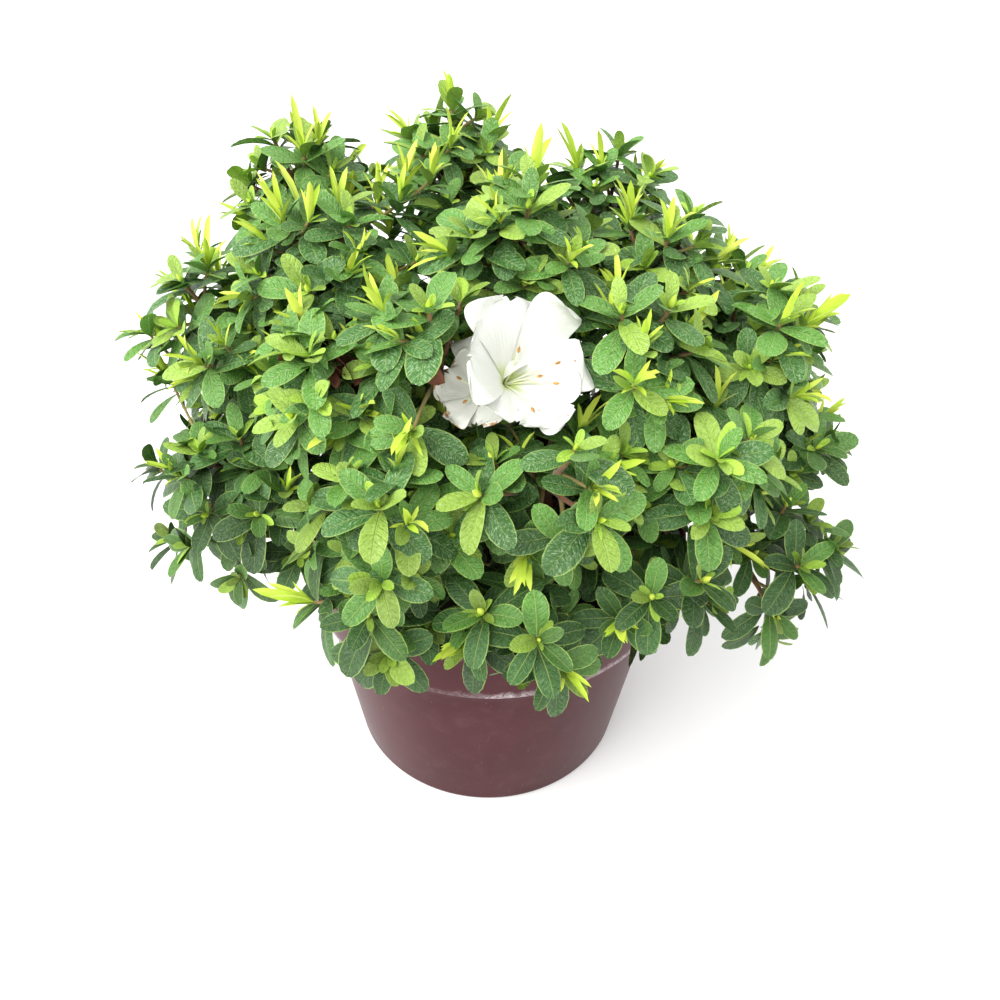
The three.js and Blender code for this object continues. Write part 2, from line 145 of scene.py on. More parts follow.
def cone(axis, polar, around):
    """A unit direction at angle `polar` from `axis`, turned by angle `around` about it, for whole arrays."""
    axis, polar, around = np.asarray(axis), np.asarray(polar)[..., None], np.asarray(around)[..., None]
    guide = np.where(np.abs(axis[..., 2:]) < 0.9, UP, np.array([1.0, 0.0, 0.0]))
    u = unit(np.cross(guide, axis))
    v = np.cross(axis, u)
    return unit(axis * np.cos(polar) + np.sin(polar) * (u * np.cos(around) + v * np.sin(around)))


def bezier(points, t):
    """Points at shares t of a Bezier curve with 3 or 4 control points, by its Bernstein sum. The control
    points lie along the first axis, and t along the second last axis of the result."""
    order = len(points) - 1
    t = np.asarray(t)[:, None]
    terms = [math.comb(order, k) * (1 - t) ** (order - k) * t**k for k in range(order + 1)]
    return sum(term * np.asarray(point)[..., None, :] for term, point in zip(terms, points))


class Dice:
    """The same run of numbers from 0 to 1 each time: a linear congruential rule, seeded by a name."""

    def __init__(self, name):
        self.state = SEED
        for letter in name:
            self.state = (self.state * 31 + ord(letter)) % 2**32

    def __call__(self):
        self.state = (self.state * 1664525 + 1013904223) % 2**32
        return self.state / 2**32


class Spray:
    """Where a bough ends and its twigs fan out: its middle, its size and the way that it faces."""

    def __init__(self, name, azimuth, reach, height, size, carried_by):
        turn = math.radians(azimuth)
        self.name, self.size, self.carried_by = name, size, carried_by
        self.middle = np.array([reach * math.cos(turn), reach * math.sin(turn), height])
        self.facing = unit(unit(self.middle - HEART_HEIGHT * UP) + LIGHT_PULL * UP)
        self.stem_start = self.middle + self.facing * (GAP - STEM_LENGTH * size)
        self.dice = Dice(name)

    def shoot_plans(self):
        """Directions, reaches and starts of the spray's shoots: golden-angle steps about its facing, wider
        with each step and drawn up a little. The numbers meant for leaves are drawn and dropped."""
        for i in range(SHOOTS):
            share = i / (SHOOTS - 1)
            polar = NARROWEST_SHOOT + (WIDEST_SHOOT - NARROWEST_SHOOT) * math.sqrt(share)
            around = i * GOLDEN_ANGLE + SHOOT_TURN * self.dice()
            out = unit(cone(self.facing, math.radians(polar), around) + SHOOT_LIFT * UP)
            reach = self.size * (SHORTEST_SHOOT + (LONGEST_SHOOT - SHORTEST_SHOOT) * self.dice())
            start = self.middle + LOWEST_SHOOT * share * (self.stem_start - self.middle)
            for _ in range(1 + 2 * CAD_LEAVES):
                self.dice()
            yield out, reach, start


def trunk_points():
    """The trunk's middle line, as a quadratic Bezier's control points."""
    foot = TRUNK_FOOT * UP
    return [foot, foot + TRUNK_HEIGHT / 2 * UP, foot + np.array([TRUNK_LEAN, -TRUNK_LEAN, TRUNK_HEIGHT])]


def bough_points(start, way, spray):
    """A bough's middle line: it starts along `way` and arrives along the way that its spray faces."""
    end = spray.middle - STEM_LENGTH * spray.size * spray.facing
    hold = BOUGH_HOLD * np.linalg.norm(end - start)
    return [start, start + way * hold, end - spray.facing * hold, end]


SPRAY_LIST = [Spray(*row) for row in SPRAYS]
FLOWERS = Spray(*FLOWER_SPRAY)
CARRIED = [*SPRAY_LIST, FLOWERS]


def grow_boughs():
    """Each spray's bough, as control points and end radii: main boughs leave the trunk one above the other,
    and side boughs fork from a main one at even steps along it."""
    boughs = {}
    mains = [spray for spray in CARRIED if not spray.carried_by]
    for i, spray in enumerate(mains):
        share = LOWEST_FORK + (HIGHEST_FORK - LOWEST_FORK) * i / (len(mains) - 1)
        level = unit(spray.middle * [1, 1, 0])
        start = bezier(trunk_points(), [share])[0] + FORK_OFF_AXIS * level
        way = unit(unit(spray.middle - start) + BOUGH_SPLAY * level)
        boughs[spray.name] = (bough_points(start, way, spray), BOUGH_RADII)
    for name, (parent, _) in list(boughs.items()):
        for i, spray in enumerate(other for other in CARRIED if other.carried_by == name):
            share = FIRST_SIDE_FORK + SIDE_FORK_STEP * i
            start, ahead = bezier(parent, [share, share + 0.01])
            boughs[spray.name] = (bough_points(start, unit(ahead - start), spray), SIDE_BOUGH_RADII)
    return boughs


BOUGHS = grow_boughs()

# ---------------------------------------------------------------- numpy surfaces


def grid_faces(rows, columns, closed=False):
    """Four-sided faces of a grid of rows x columns points, facing along (next row) x (next column). A closed
    grid joins its last column to its first."""
    across = columns if closed else columns - 1
    row, column = np.meshgrid(np.arange(rows - 1), np.arange(across), indexing="ij")
    here, beside = row * columns + column, row * columns + (column + 1) % columns
    return np.stack([here, here + columns, beside + columns, beside], -1).reshape(-1, 4)


def fan_faces(tip, ring, flip=False):
    """Triangles from a tip to each pair of neighbours in a ring of point numbers."""
    ring = np.asarray(ring)
    near, far = (ring[1:], ring[:-1]) if flip else (ring[:-1], ring[1:])
    return np.stack([near, np.full(len(ring) - 1, tip), far], -1)


def round_turn(count):
    """Angles evenly round a full turn, from 0."""
    return np.arange(count) * 2 * math.pi / count


def repeated(faces, count, stride):
    """A small shape's faces again for each of `count` copies whose points are `stride` apart."""
    return (faces[None] + stride * np.arange(count)[:, None, None]).reshape(-1, faces.shape[1])


def mesh_object(name, points, faces, material, maps=None, values=None):
    """A smooth mesh object from points in millimetres and a list of face arrays. `maps` are UV maps and
    `values` are one number a point."""
    points = np.asarray(points, float).reshape(-1, 3) * MM
    corners = np.concatenate([part.ravel() for part in faces]).astype(np.int32)
    sizes = np.concatenate([np.full(len(part), part.shape[1]) for part in faces])
    mesh = bpy.data.meshes.new(name)
    mesh.vertices.add(len(points))
    mesh.vertices.foreach_set("co", points.astype(np.float32).ravel())
    mesh.loops.add(len(corners))
    mesh.loops.foreach_set("vertex_index", corners)
    mesh.polygons.add(len(sizes))
    mesh.polygons.foreach_set("loop_start", (np.cumsum(sizes) - sizes).astype(np.int32))
    mesh.polygons.foreach_set("use_smooth", np.ones(len(sizes), bool))
    mesh.update(calc_edges=True)
    for label, uv in (maps or {}).items():
        layer = mesh.uv_layers.new(name=label)
        layer.data.foreach_set("uv", np.asarray(uv, np.float32).reshape(-1, 2)[corners].ravel())
    for label, numbers in (values or {}).items():
        layer = mesh.attributes.new(label, "FLOAT", "POINT")
        layer.data.foreach_set("value", np.asarray(numbers, np.float32).ravel())
    mesh.materials.append(material)
    piece = bpy.data.objects.new(name, mesh)
    bpy.context.scene.collection.objects.link(piece)
    return piece


def dressed(piece, slot, *nodes):
    """A finished piece of the plant: it rides on the one body and stands for its nodes."""
    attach(piece, "root")
    if nodes:
        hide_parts(*nodes)


def smooth_noise(points, size, seed):
    """Noise from -1 to 1: random numbers on a cubic lattice of spacing `size`, blended between its corners
    with the weight 3t^2 - 2t^3 along each axis."""
    scaled = np.asarray(points, float) / size
    cell = np.floor(scaled).astype(np.int64)
    t = scaled - cell
    t = t * t * (3 - 2 * t)
    total = 0.0
    for corner in np.ndindex(2, 2, 2):
        x, y, z = (cell + corner).transpose(-1, *range(cell.ndim - 1))
        mixed = (x * 73856093) ^ (y * 19349663) ^ (z * 83492791) ^ (seed * 2654435761)
        mixed = (mixed ^ (mixed >> 13)) * 1274126177 & 0xFFFFFFFF
        value = ((mixed ^ (mixed >> 16)) & 0xFFFF) / 32767.5 - 1
        weights = np.where(np.array(corner, bool), t, 1 - t)
        total = total + value * weights.prod(-1)
    return total


def tube_grid(line, radii, sides, relief=None):
    """A round tube: at each point of `line`, a ring of `sides` points whose radius is radii x (1 + relief).
    The ring lies across the line's tangent and turns about the normal of the line's plane, or about a fixed
    axis where the line is straight. line is (..., rings, 3), radii (..., rings)."""
    tangent = unit(np.gradient(line, axis=-2))
    mean = unit(line[..., -1:, :] - line[..., :1, :])
    fixed = np.where(np.abs(mean[..., 2:]) < 0.8, UP, np.array([1.0, 0.0, 0.0]))
    normal = np.cross(tangent[..., :1, :], tangent[..., -1:, :])
    bent = np.linalg.norm(normal, axis=-1, keepdims=True)
    guide = np.where(bent > 0.1, normal / np.maximum(bent, 0.1), fixed)
    u = unit(np.cross(guide, tangent))
    v = np.cross(tangent, u)
    turn = round_turn(sides)
    out = u[..., None, :] * np.cos(turn)[:, None] + v[..., None, :] * np.sin(turn)[:, None]
    swell = 1.0 if relief is None else 1.0 + relief[..., None]
    return line[..., None, :] + out * np.asarray(radii)[..., None, None] * swell


def tube_object(name, grid, material, **values):
    """One mesh of closed tubes, from their (..., rings, sides, 3) points: each has its wall and, as one
    polygon each, its two end caps. `values` are numbers that spread over the points as arrays do."""
    rings, sides = grid.shape[-3:-1]
    first = np.arange(sides)[None]
    faces = [grid_faces(rings, sides, closed=True)[:, ::-1], first[:, ::-1], (rings - 1) * sides + first]
    faces = [repeated(part, grid[..., 0, 0, 0].size, rings * sides) for part in faces]
    values = {label: np.broadcast_to(numbers, grid.shape[:-1]) for label, numbers in values.items()}
    return mesh_object(name, grid, faces, material, values=values)


# ---------------------------------------------------------------- materials


class Socket:
    """An output of a node. Arithmetic on it adds Math nodes, with numbers or with other outputs."""

    def __init__(self, tree, output):
        self.tree, self.output = tree, output

    def _math(self, operation, *operands, clamp=False):
        values = dict(enumerate(operands))
        return self.tree.node("ShaderNodeMath", values, operation=operation, use_clamp=clamp)

    def __add__(self, other):
        return self._math("ADD", self, other)

    def __sub__(self, other):
        return self._math("SUBTRACT", self, other)

    def __rsub__(self, other):
        return self._math("SUBTRACT", other, self)

    def __mul__(self, other):
        return self._math("MULTIPLY", self, other)

    def __abs__(self):
        return self._math("ABSOLUTE", self)

    __radd__ = __add__
    __rmul__ = __mul__

    def wave(self):
        """The sine of this value."""
        return self._math("SINE", self)

    def clamped(self):
        """This value, kept between 0 and 1."""
        return self._math("ADD", self, 0.0, clamp=True)

    def step(self, low, high):
        """0 below `low` and 1 above `high`, smooth between them. With low above high it falls instead."""
        values = {"Value": self, "From Min": low, "From Max": high, "To Min": 0.0, "To Max": 1.0}
        if low > high:
            values.update({"From Min": high, "From Max": low, "To Min": 1.0, "To Max": 0.0})
        return self.tree.node("ShaderNodeMapRange", values, interpolation_type="SMOOTHSTEP")


class Finish:
    """A node material that is built by expressions."""

    def __init__(self, name):
        self.material = bpy.data.materials.new(name)
        self.material.use_nodes = True
        self.nodes = self.material.node_tree.nodes
        self.links = self.material.node_tree.links
        self.shader = self.nodes["Principled BSDF"]

    def node(self, kind, values=None, output=0, **settings):
        """Adds a node: its settings first, then its sockets' values or links. Returns one output."""
        made = self.nodes.new(kind)
        for label, setting in settings.items():
            setattr(made, label, setting)
        for key, value in (values or {}).items():
            self.feed(made.inputs[key], value)
        return Socket(self, made.outputs[output])

    def feed(self, socket, value):
        """Links an output to a socket, or sets the socket's own value."""
        if isinstance(value, Socket):
            self.links.new(value.output, socket)
        elif hasattr(value, "__len__"):
            opaque = (1.0,) if len(value) == 3 and socket.type == "RGBA" else ()
            socket.default_value = (*value, *opaque)
        else:
            socket.default_value = value

    def place(self):
        """The place on the piece, in metres."""
        return self.node("ShaderNodeTexCoord", output="Object")

    def height(self):
        """The height on the piece, in metres."""
        return self.node("ShaderNodeSeparateXYZ", {0: self.place()}, output="Z")

    def uv(self, name):
        """A UV map, as a vector."""
        return self.node("ShaderNodeUVMap", uv_map=name)

    def uv_parts(self, name):
        """A UV map's two numbers."""
        return [self.node("ShaderNodeSeparateXYZ", {0: self.uv(name)}, output=axis) for axis in "XY"]

    def value(self, name):
        """A number that each point of the mesh holds."""
        return self.node("ShaderNodeAttribute", output="Fac", attribute_name=name)

    def stretched(self, scale, vector=None):
        """The place on the piece, or another vector, scaled along each axis."""
        vector = self.place() if vector is None else vector
        return self.node("ShaderNodeVectorMath", {0: vector, 1: scale}, operation="MULTIPLY")

    def joined(self, x, y, z):
        """Three numbers as one vector."""
        return self.node("ShaderNodeCombineXYZ", {0: x, 1: y, 2: z})

    def noise(self, size, detail=3.0, vector=None, roughness=0.5):
        """Cloudy noise from 0 to 1 with lumps of about `size`, in metres or in the vector's own unit."""
        vector = self.place() if vector is None else vector
        values = {"Vector": vector, "Scale": 1 / size, "Detail": detail, "Roughness": roughness}
        return self.node("ShaderNodeTexNoise", values)

    def cells(self, size):
        """Distance to the middle of random cells of about `size` metres, as a share of it."""
        values = {"Vector": self.place(), "Scale": 1 / size}
        return self.node("ShaderNodeTexVoronoi", values, output="Distance")

    def mix(self, share, first, second):
        """Two colours, mixed. The node's sockets 6 and 7 and its output 2 are the ones for colours."""
        return self.node("ShaderNodeMix", {0: share, 6: first, 7: second}, output=2, data_type="RGBA")

    def bump(self, height, distance, strength):
        """Relief for the shader's Normal, from a height from 0 to 1 that stands for `distance` metres."""
        return self.node("ShaderNodeBump", {"Height": height, "Distance": distance, "Strength": strength})

    def made(self, **values):
        """The material, once the shader's sockets, named with _ for a space, are set or linked."""
        for label, value in values.items():
            self.feed(self.shader.inputs[label.replace("_", " ")], value)
        return self.material


def pot_plastic(settings):
    """Matte burgundy plastic with a thin film of dust, a chalky scuff along parts of the band's lower edge,
    fine scratches and grains of dried soil near the foot."""
    finish = Finish("burgundy_plastic")
    height = finish.height()
    clouds = finish.noise(0.05, detail=4)
    grain = finish.noise(0.0009, detail=2)
    colour = finish.mix(clouds.step(0.3, 0.75), settings.plastic, settings.faded_plastic)
    film = finish.noise(0.012, detail=6, roughness=0.65).step(0.45, 0.8) * 0.06
    colour = finish.mix(film, colour, settings.dust)
    edge = BAND_FOOT * MM
    ragged = height + (finish.noise(0.008, detail=5, roughness=0.75) - 0.5) * 0.01
    on_edge = ragged.step(edge - 0.002, edge + 0.0008) * ragged.step(edge + 0.007, edge + 0.0028)
    broken = finish.noise(0.0022, detail=6, roughness=0.8).step(0.34, 0.62)
    around = finish.noise(0.04, detail=3).step(0.34, 0.56)
    scuff = on_edge * broken * (0.2 + 0.8 * around)
    colour = finish.mix(height.step(edge - 0.001, edge + 0.001) * 0.4, colour, settings.faded_plastic)
    colour = finish.mix(scuff * 0.85, colour, settings.chalk)
    scratches = finish.noise(0.0012, vector=finish.stretched((1.0, 1.0, 0.06)), detail=2).step(0.72, 0.78)
    colour = finish.mix(scratches * 0.14, colour, settings.chalk)
    low = height.step(0.055, 0.002)
    grains = finish.cells(0.0035).step(0.24, 0.16) * finish.noise(0.02).step(0.45, 0.62)
    colour = finish.mix(grains * low, colour, settings.grime)
    return finish.made(
        Base_Color=colour,
        Roughness=(0.27 + clouds * 0.1 + scuff * 0.5 + film * 0.8).clamped(),
        Specular_IOR_Level=0.1,
        Sheen_Weight=0.3,
        Sheen_Roughness=0.05,
        Sheen_Tint=(1.0, 0.84, 0.84, 1.0),
        Normal=finish.bump(grain * 0.5 + scuff + grains * low, 0.00012, 0.35),
    )


def potting_soil(settings):
    """Dark, damp potting mix, from near-black peat to brown fibre."""
    finish = Finish("potting_soil")
    lumps = finish.noise(0.006, detail=6, roughness=0.7)
    crumbs = finish.cells(0.0022)
    colour = finish.mix(lumps.step(0.35, 0.7), settings.peat, settings.fibre)
    colour = finish.mix(crumbs.step(0.35, 0.6) * 0.5, colour, settings.peat)
    relief = finish.bump(lumps * 0.6 + crumbs * 0.4, 0.0012, 0.8)
    return finish.made(Base_Color=colour, Roughness=0.95, Normal=relief)


def bark_chip(settings):
    """Composted bark: brown chips with a long grain."""
    finish = Finish("bark_chip")
    grain = finish.noise(0.0012, vector=finish.stretched((1.0, 0.25, 1.0)), detail=4)
    shade = finish.value("shade")
    colour = finish.mix(shade, settings.peat, settings.chip)
    colour = finish.mix(grain.step(0.4, 0.7) * 0.5, colour, settings.fibre)
    return finish.made(Base_Color=colour, Roughness=0.9, Normal=finish.bump(grain, 0.0006, 0.6))


def old_bark(settings):
    """Grey-brown bark, split lengthwise, with paler flakes."""
    finish = Finish("old_bark")
    along = finish.value("along")
    fissures = finish.noise(0.0016, vector=finish.stretched((1.0, 1.0, 0.22)), detail=5, roughness=0.65)
    flakes = finish.noise(0.007, detail=4)
    colour = finish.mix(fissures.step(0.38, 0.66), settings.bark_dark, settings.bark)
    colour = finish.mix(flakes.step(0.52, 0.75) * 0.6, colour, settings.bark_pale)
    colour = finish.mix(along * 0.45, colour, settings.young_bark)
    return finish.made(Base_Color=colour, Roughness=0.88, Normal=finish.bump(fissures, 0.0008, 0.8))


def young_bark(settings):
    """Young twigs: orange to reddish brown, greener and downy towards the tip."""
    finish = Finish("young_bark")
    along = finish.value("along")
    mottle = finish.noise(0.0018, detail=3)
    colour = finish.mix(mottle.step(0.3, 0.75), settings.young_bark, settings.bark)
    colour = finish.mix(along.step(0.35, 1.0) * 0.8, colour, settings.green_twig)
    relief = finish.bump(mottle, 0.0003, 0.5)
    return finish.made(
        Base_Color=colour, Roughness=0.72, Sheen_Weight=0.3, Sheen_Roughness=0.5, Normal=relief
    )


SIDE_VEINS = 7.0


def leaf_finish(name, blade, settings, gloss, down, rimmed):
    """A leaf's upper face, with `down` as the share of hairs and their painted sheen and `rimmed` that of the
    pale margin. The UV map `leaf` holds the share of the length and the place across from 0 to 1, and `blade`
    the same places in leaf lengths. Fine pale hairs lie along the side veins, which leave the midrib forwards
    in sunken pairs; the pale hairs also paint a sheen, and painted shade darkens the sunken veins and the
    pits between the hairs. The thin midrib pales towards the stalk, and a pale line follows the margin. High
    leaves are painted paler, as if lit from above, and their hairs brighter, a painted highlight."""
    finish = Finish(name)
    along, across = finish.uv_parts("leaf")
    _, sideways = finish.uv_parts("blade")
    shade = finish.value("shade")
    off_rib = abs(sideways)
    off_middle = abs(across - 0.5) * 2
    up_vein = along - off_rib * 0.8
    rib = off_rib.step(0.015, 0.005) * (1.1 - along * 0.9).clamped()
    furrow = (up_vein * (2 * math.pi * SIDE_VEINS)).wave().step(0.5, 1.0) * off_rib.step(0.012, 0.05)
    streak_place = finish.joined(up_vein * 44, sideways * 22, shade * 90)
    hairs = finish.noise(1.0, detail=4, vector=streak_place, roughness=0.7)
    flecks = finish.noise(0.0009, detail=2)
    patches = finish.noise(1.0, detail=2, vector=finish.joined(along * 3.4, sideways * 6, shade * 50))
    border = off_middle.step(0.88, 0.97) * along.step(0.06, 0.2)
    # painted light: `high` marks leaves high on the plant, which are mixed towards the light tone and given
    # brighter hairs, as if lit from above
    high = finish.height().step(0.2, 0.29)
    dark = tuple(part * 0.36 for part in blade)
    light = tuple(min(1.0, part * 1.35) for part in blade)
    colour = finish.mix((shade * 0.6 + patches * 0.45 + high * 0.65 - 0.2).clamped(), dark, light)
    # painted shade: darker in the low pits between the hairs
    colour = finish.mix(hairs.step(0.5, 0.34) * 0.65, colour, dark)
    # painted shade: darker in the sunken side veins
    colour = finish.mix(furrow * 0.08, colour, dark)
    # pale hairs: partly the hairs' own colour, partly a painted sheen, and brighter on high leaves as a
    # painted highlight
    hairs_and_highlight = hairs.step(0.46, 0.68) * flecks.step(0.34, 0.56) * (0.33 + high * 0.82)
    colour = finish.mix(hairs_and_highlight * down, colour, settings.hair_and_sheen)
    colour = finish.mix(rib * (0.25 + shade * 0.5), colour, settings.vein)
    colour = finish.mix(border * rimmed, colour, settings.margin)
    high_and_low = hairs * 0.4 + (1 - furrow) * 0.18 - rib * 0.5 + patches * 0.6 + flecks * 0.2
    return finish.made(
        Base_Color=colour,
        Roughness=(gloss + hairs * 0.2).clamped(),
        Specular_IOR_Level=0.4,
        Normal=finish.bump(high_and_low, 0.0012, 0.85),
    )


def plain_leaf(name, colour, pale, roughness=0.5):
    """A small soft growth: two tones of one green in soft clouds, with a silky sheen."""
    finish = Finish(name)
    shade = finish.value("shade")
    clouds = finish.noise(0.0024, detail=3)
    mixed = finish.mix((shade * 0.75 + clouds * 0.35).clamped(), colour, pale)
    relief = finish.bump(clouds, 0.0004, 0.5)
    return finish.made(
        Base_Color=mixed, Roughness=roughness, Sheen_Weight=0.15, Sheen_Roughness=0.4, Normal=relief
    )


def petal_finish(settings):
    """White petals: faint lengthwise veins, a green-yellow throat, freckles, and brown where the edge has
    withered. `wilt` says how withered each point is."""
    finish = Finish("white_petal")
    along, _ = finish.uv_parts("petal")
    throat = along.step(0.24, 0.03)
    lengthwise = finish.stretched((2.5, 26.0, 0.0), finish.uv("petal"))
    streaks = finish.noise(1.0, vector=lengthwise, detail=4)
    colour = finish.mix(streaks.step(0.42, 0.75) * 0.3, settings.petal, settings.petal_vein)
    colour = finish.mix(throat * 0.9, colour, settings.throat)
    freckles = finish.cells(0.0046).step(0.17, 0.1) * finish.noise(0.012).step(0.56, 0.62)
    wilt = finish.value("wilt")
    spots = (wilt + finish.noise(0.003, detail=4) - 0.98).step(0.0, 0.12)
    colour = finish.mix((wilt * 0.5).clamped(), colour, settings.stale)
    colour = finish.mix((freckles * 0.75 + spots).clamped(), colour, settings.blemish)
    relief = finish.bump(streaks, 0.0007, 0.5)
    return finish.made(Base_Color=colour, Roughness=0.6, Sheen_Weight=0.15, Normal=relief)


def plain_finish(name, colour, second, size, roughness, relief=0.0002):
    """Two tones in soft clouds with a little relief, for the small parts of a flower and dry leaves."""
    finish = Finish(name)
    clouds = finish.noise(size, detail=4)
    mixed = finish.mix(clouds.step(0.3, 0.7), colour, second)
    return finish.made(Base_Color=mixed, Roughness=roughness, Normal=finish.bump(clouds, relief, 0.5))


def studio_white(settings):
    """A plain pale floor with a faint unevenness."""
    finish = Finish("studio_white")
    clouds = finish.noise(0.4, detail=2)
    colour = finish.mix(clouds, settings.floor, settings.floor_shade)
    return finish.made(
        Base_Color=colour,
        Roughness=0.9,
        Emission_Color=(1.0, 1.0, 1.0),
        Emission_Strength=settings.floor_glow,
    )


# ---------------------------------------------------------------- settings


def colour_property(name, description, default):
    """A colour that a user can change."""
    return FloatVectorProperty(
        name=name, description=description, default=default, min=0, max=1, subtype="COLOR"
    )


def length_property(name, description, default):
    """A length in metres that a user can change."""
    return FloatProperty(name=name, description=description, default=default, unit="LENGTH")


def angle_property(name, description, default):
    """An angle in radians that a user can change."""
    return FloatProperty(name=name, description=description, default=default, subtype="ANGLE")


class AzaleaPotSettings(bpy.types.PropertyGroup):
    """Sizes and colours of the pot and its soil."""

    lip_rounding: length_property("Lip rounding", "Radius of the lip's edge", 0.0011)
    heap: length_property("Heap", "How far the soil's lumps stand up", 0.0035)
    plastic: colour_property("Plastic", "Burgundy plastic in shade", (0.054, 0.009, 0.0125))
    faded_plastic: colour_property(
        "Faded plastic", "Burgundy plastic where it has faded", (0.068, 0.014, 0.018)
    )
    dust: colour_property("Dust", "Dry film on the plastic", (0.36, 0.25, 0.27))
    chalk: colour_property("Chalk", "Scuffs and dried lime", (0.58, 0.5, 0.52))
    grime: colour_property("Grime", "Dried soil on the plastic", (0.05, 0.035, 0.025))
    peat: colour_property("Peat", "Darkest soil", (0.008, 0.006, 0.005))
    fibre: colour_property("Fibre", "Brown fibre in the soil", (0.05, 0.032, 0.022))
    chip: colour_property("Bark chip", "Bark chips on the soil", (0.095, 0.052, 0.032))


class AzaleaWoodSettings(bpy.types.PropertyGroup):
    """Relief and colours of the trunk, boughs and twigs."""

    relief: FloatProperty(
        name="Bark relief", description="Depth of the bark's ridges, as a share of the radius", default=0.16
    )
    twig_radius: length_property("Twig radius", "Radius of a twig at its root", 0.0011)
    bark: colour_property("Bark", "Grey-brown bark", (0.115, 0.068, 0.043))
    bark_dark: colour_property("Bark cracks", "Bark in its cracks", (0.03, 0.018, 0.012))
    bark_pale: colour_property("Bark flakes", "Pale flakes on the bark", (0.24, 0.18, 0.135))
    young_bark: colour_property("Young bark", "Bark of this year's twigs", (0.27, 0.105, 0.038))
    green_twig: colour_property("Green twig", "A twig near its tip", (0.3, 0.25, 0.06))


class AzaleaLeafSettings(bpy.types.PropertyGroup):
    """Sizes and colours of the leaves."""

    length: length_property("Leaf length", "A grown leaf, root to tip", 0.0265)
    width: FloatProperty(
        name="Leaf width", description="As a share of the leaf's length", default=0.46, min=0.2, max=0.8
    )
    deep: colour_property("Deep green", "Oldest leaves", (0.046, 0.145, 0.022))
    middle: colour_property("Middle green", "Grown leaves", (0.1, 0.26, 0.034))
    fresh: colour_property("Fresh green", "Young leaves", (0.28, 0.44, 0.055))
    # the hairs' colour, which also serves as a painted sheen on the leaves
    hair_and_sheen: colour_property("Hairs", "Pale hairs on the leaves", (0.58, 0.71, 0.48))
    opened: colour_property("Opened leaf", "New leaves that have just opened", (0.36, 0.58, 0.06))
    lime: colour_property("Lime", "New shoots", (0.42, 0.64, 0.035))
    lime_pale: colour_property("Pale lime", "New shoots at their brightest", (0.74, 0.86, 0.11))
    vein: colour_property("Midrib", "The line down a leaf's middle", (0.46, 0.58, 0.16))
    margin: colour_property("Margin", "The line round a leaf's edge", (0.42, 0.58, 0.13))
    dry: colour_property("Dry leaf", "Withered leaves", (0.09, 0.028, 0.017))
    dry_pale: colour_property("Pale dry leaf", "Withered leaves where they are palest", (0.24, 0.085, 0.04))


class AzaleaBloomSettings(bpy.types.PropertyGroup):
    """Sizes and colours of the flowers."""

    ruffle: length_property("Ruffle", "How far a petal's edge waves", 0.0024)
    thread: length_property("Thread", "Radius of a stamen's thread", 0.00042)
    petal: colour_property("Petal", "White of the petals", (0.76, 0.77, 0.72))
    petal_vein: colour_property("Petal vein", "Veins in the petals", (0.64, 0.69, 0.56))
    stale: colour_property("Stale petal", "Petals that have begun to wither", (0.74, 0.72, 0.6))
    throat: colour_property("Throat", "Green-yellow of the throat", (0.5, 0.62, 0.12))
    blemish: colour_property("Blemish", "Brown freckles", (0.34, 0.16, 0.04))
    stamen: colour_property("Stamen", "Threads of the stamens", (0.72, 0.76, 0.36))
    anther: colour_property("Anther", "Heads of the stamens", (0.72, 0.4, 0.12))
    sepal: colour_property("Sepal", "Green behind the petals", (0.42, 0.62, 0.06))


class AzaleaStageSettings(bpy.types.PropertyGroup):
    """Floor, light and camera."""

    floor: colour_property("Floor", "Pale studio floor", (0.88, 0.88, 0.87))
    floor_shade: colour_property("Floor shade", "The floor's darker clouds", (0.85, 0.85, 0.84))
    floor_glow: FloatProperty(name="Floor glow", description="Light that the floor gives off", default=0.15)
    floor_reach: length_property("Floor reach", "From the middle of the floor to its edge", 60.0)
    lens: FloatProperty(name="Lens", description="Focal length in millimetres", default=28.787)
    eye: FloatVectorProperty(
        name="Eye", description="Where the camera stands", default=(0.005, -0.3815, 0.4573), subtype="XYZ"
    )
    pitch: angle_property("Pitch", "How far the camera looks down", 0.6446)
    roll: angle_property("Roll", "How far the camera leans", 0.028)
    daylight: FloatProperty(name="Daylight", description="Strength of the light all round", default=1.0)
    key: FloatProperty(name="Key light", description="Strength of the soft light from above", default=3.7)
    softness: angle_property("Softness", "How wide the light from above spreads", 1.0)


# ---------------------------------------------------------------- pot and soil


def turned(profile, columns):
    """Rings of points round the Z axis, one for each [radius, height] of a half profile."""
    radius, height = np.asarray(profile, float).T[..., None]
    turn = round_turn(columns)
    return np.stack([radius * np.cos(turn), radius * np.sin(turn), height + 0 * turn], -1)


def turned_object(name, rings, low, high, material):
    """A closed turned shape. Its rings run up the outside, and a point on the axis closes it at either end,
    at the heights `low` and `high`."""
    rows, columns = rings.shape[:2]
    points = np.concatenate([[[0, 0, low]], rings.reshape(-1, 3), [[0, 0, high]]])
    ring = np.append(np.arange(columns), 0) + 1
    wall = grid_faces(rows, columns, closed=True) + 1
    discs = [fan_faces(0, ring), fan_faces(len(points) - 1, ring + (rows - 1) * columns, flip=True)]
    return mesh_object(name, points, [part[:, ::-1] for part in (wall, *discs)], material)


def run(start, end, steps):
    """Points evenly from start to end, without the end."""
    return [np.add(start, np.subtract(end, start) * i / steps) for i in range(steps)]


def arc(middle, radius, first, last, steps):
    """Points on an arc of a circle, from one angle to another in degrees, both ends among them."""
    turn = np.radians(np.linspace(first, last, steps + 1))
    return list(np.stack([middle[0] + radius * np.cos(turn), middle[1] + radius * np.sin(turn)], -1))


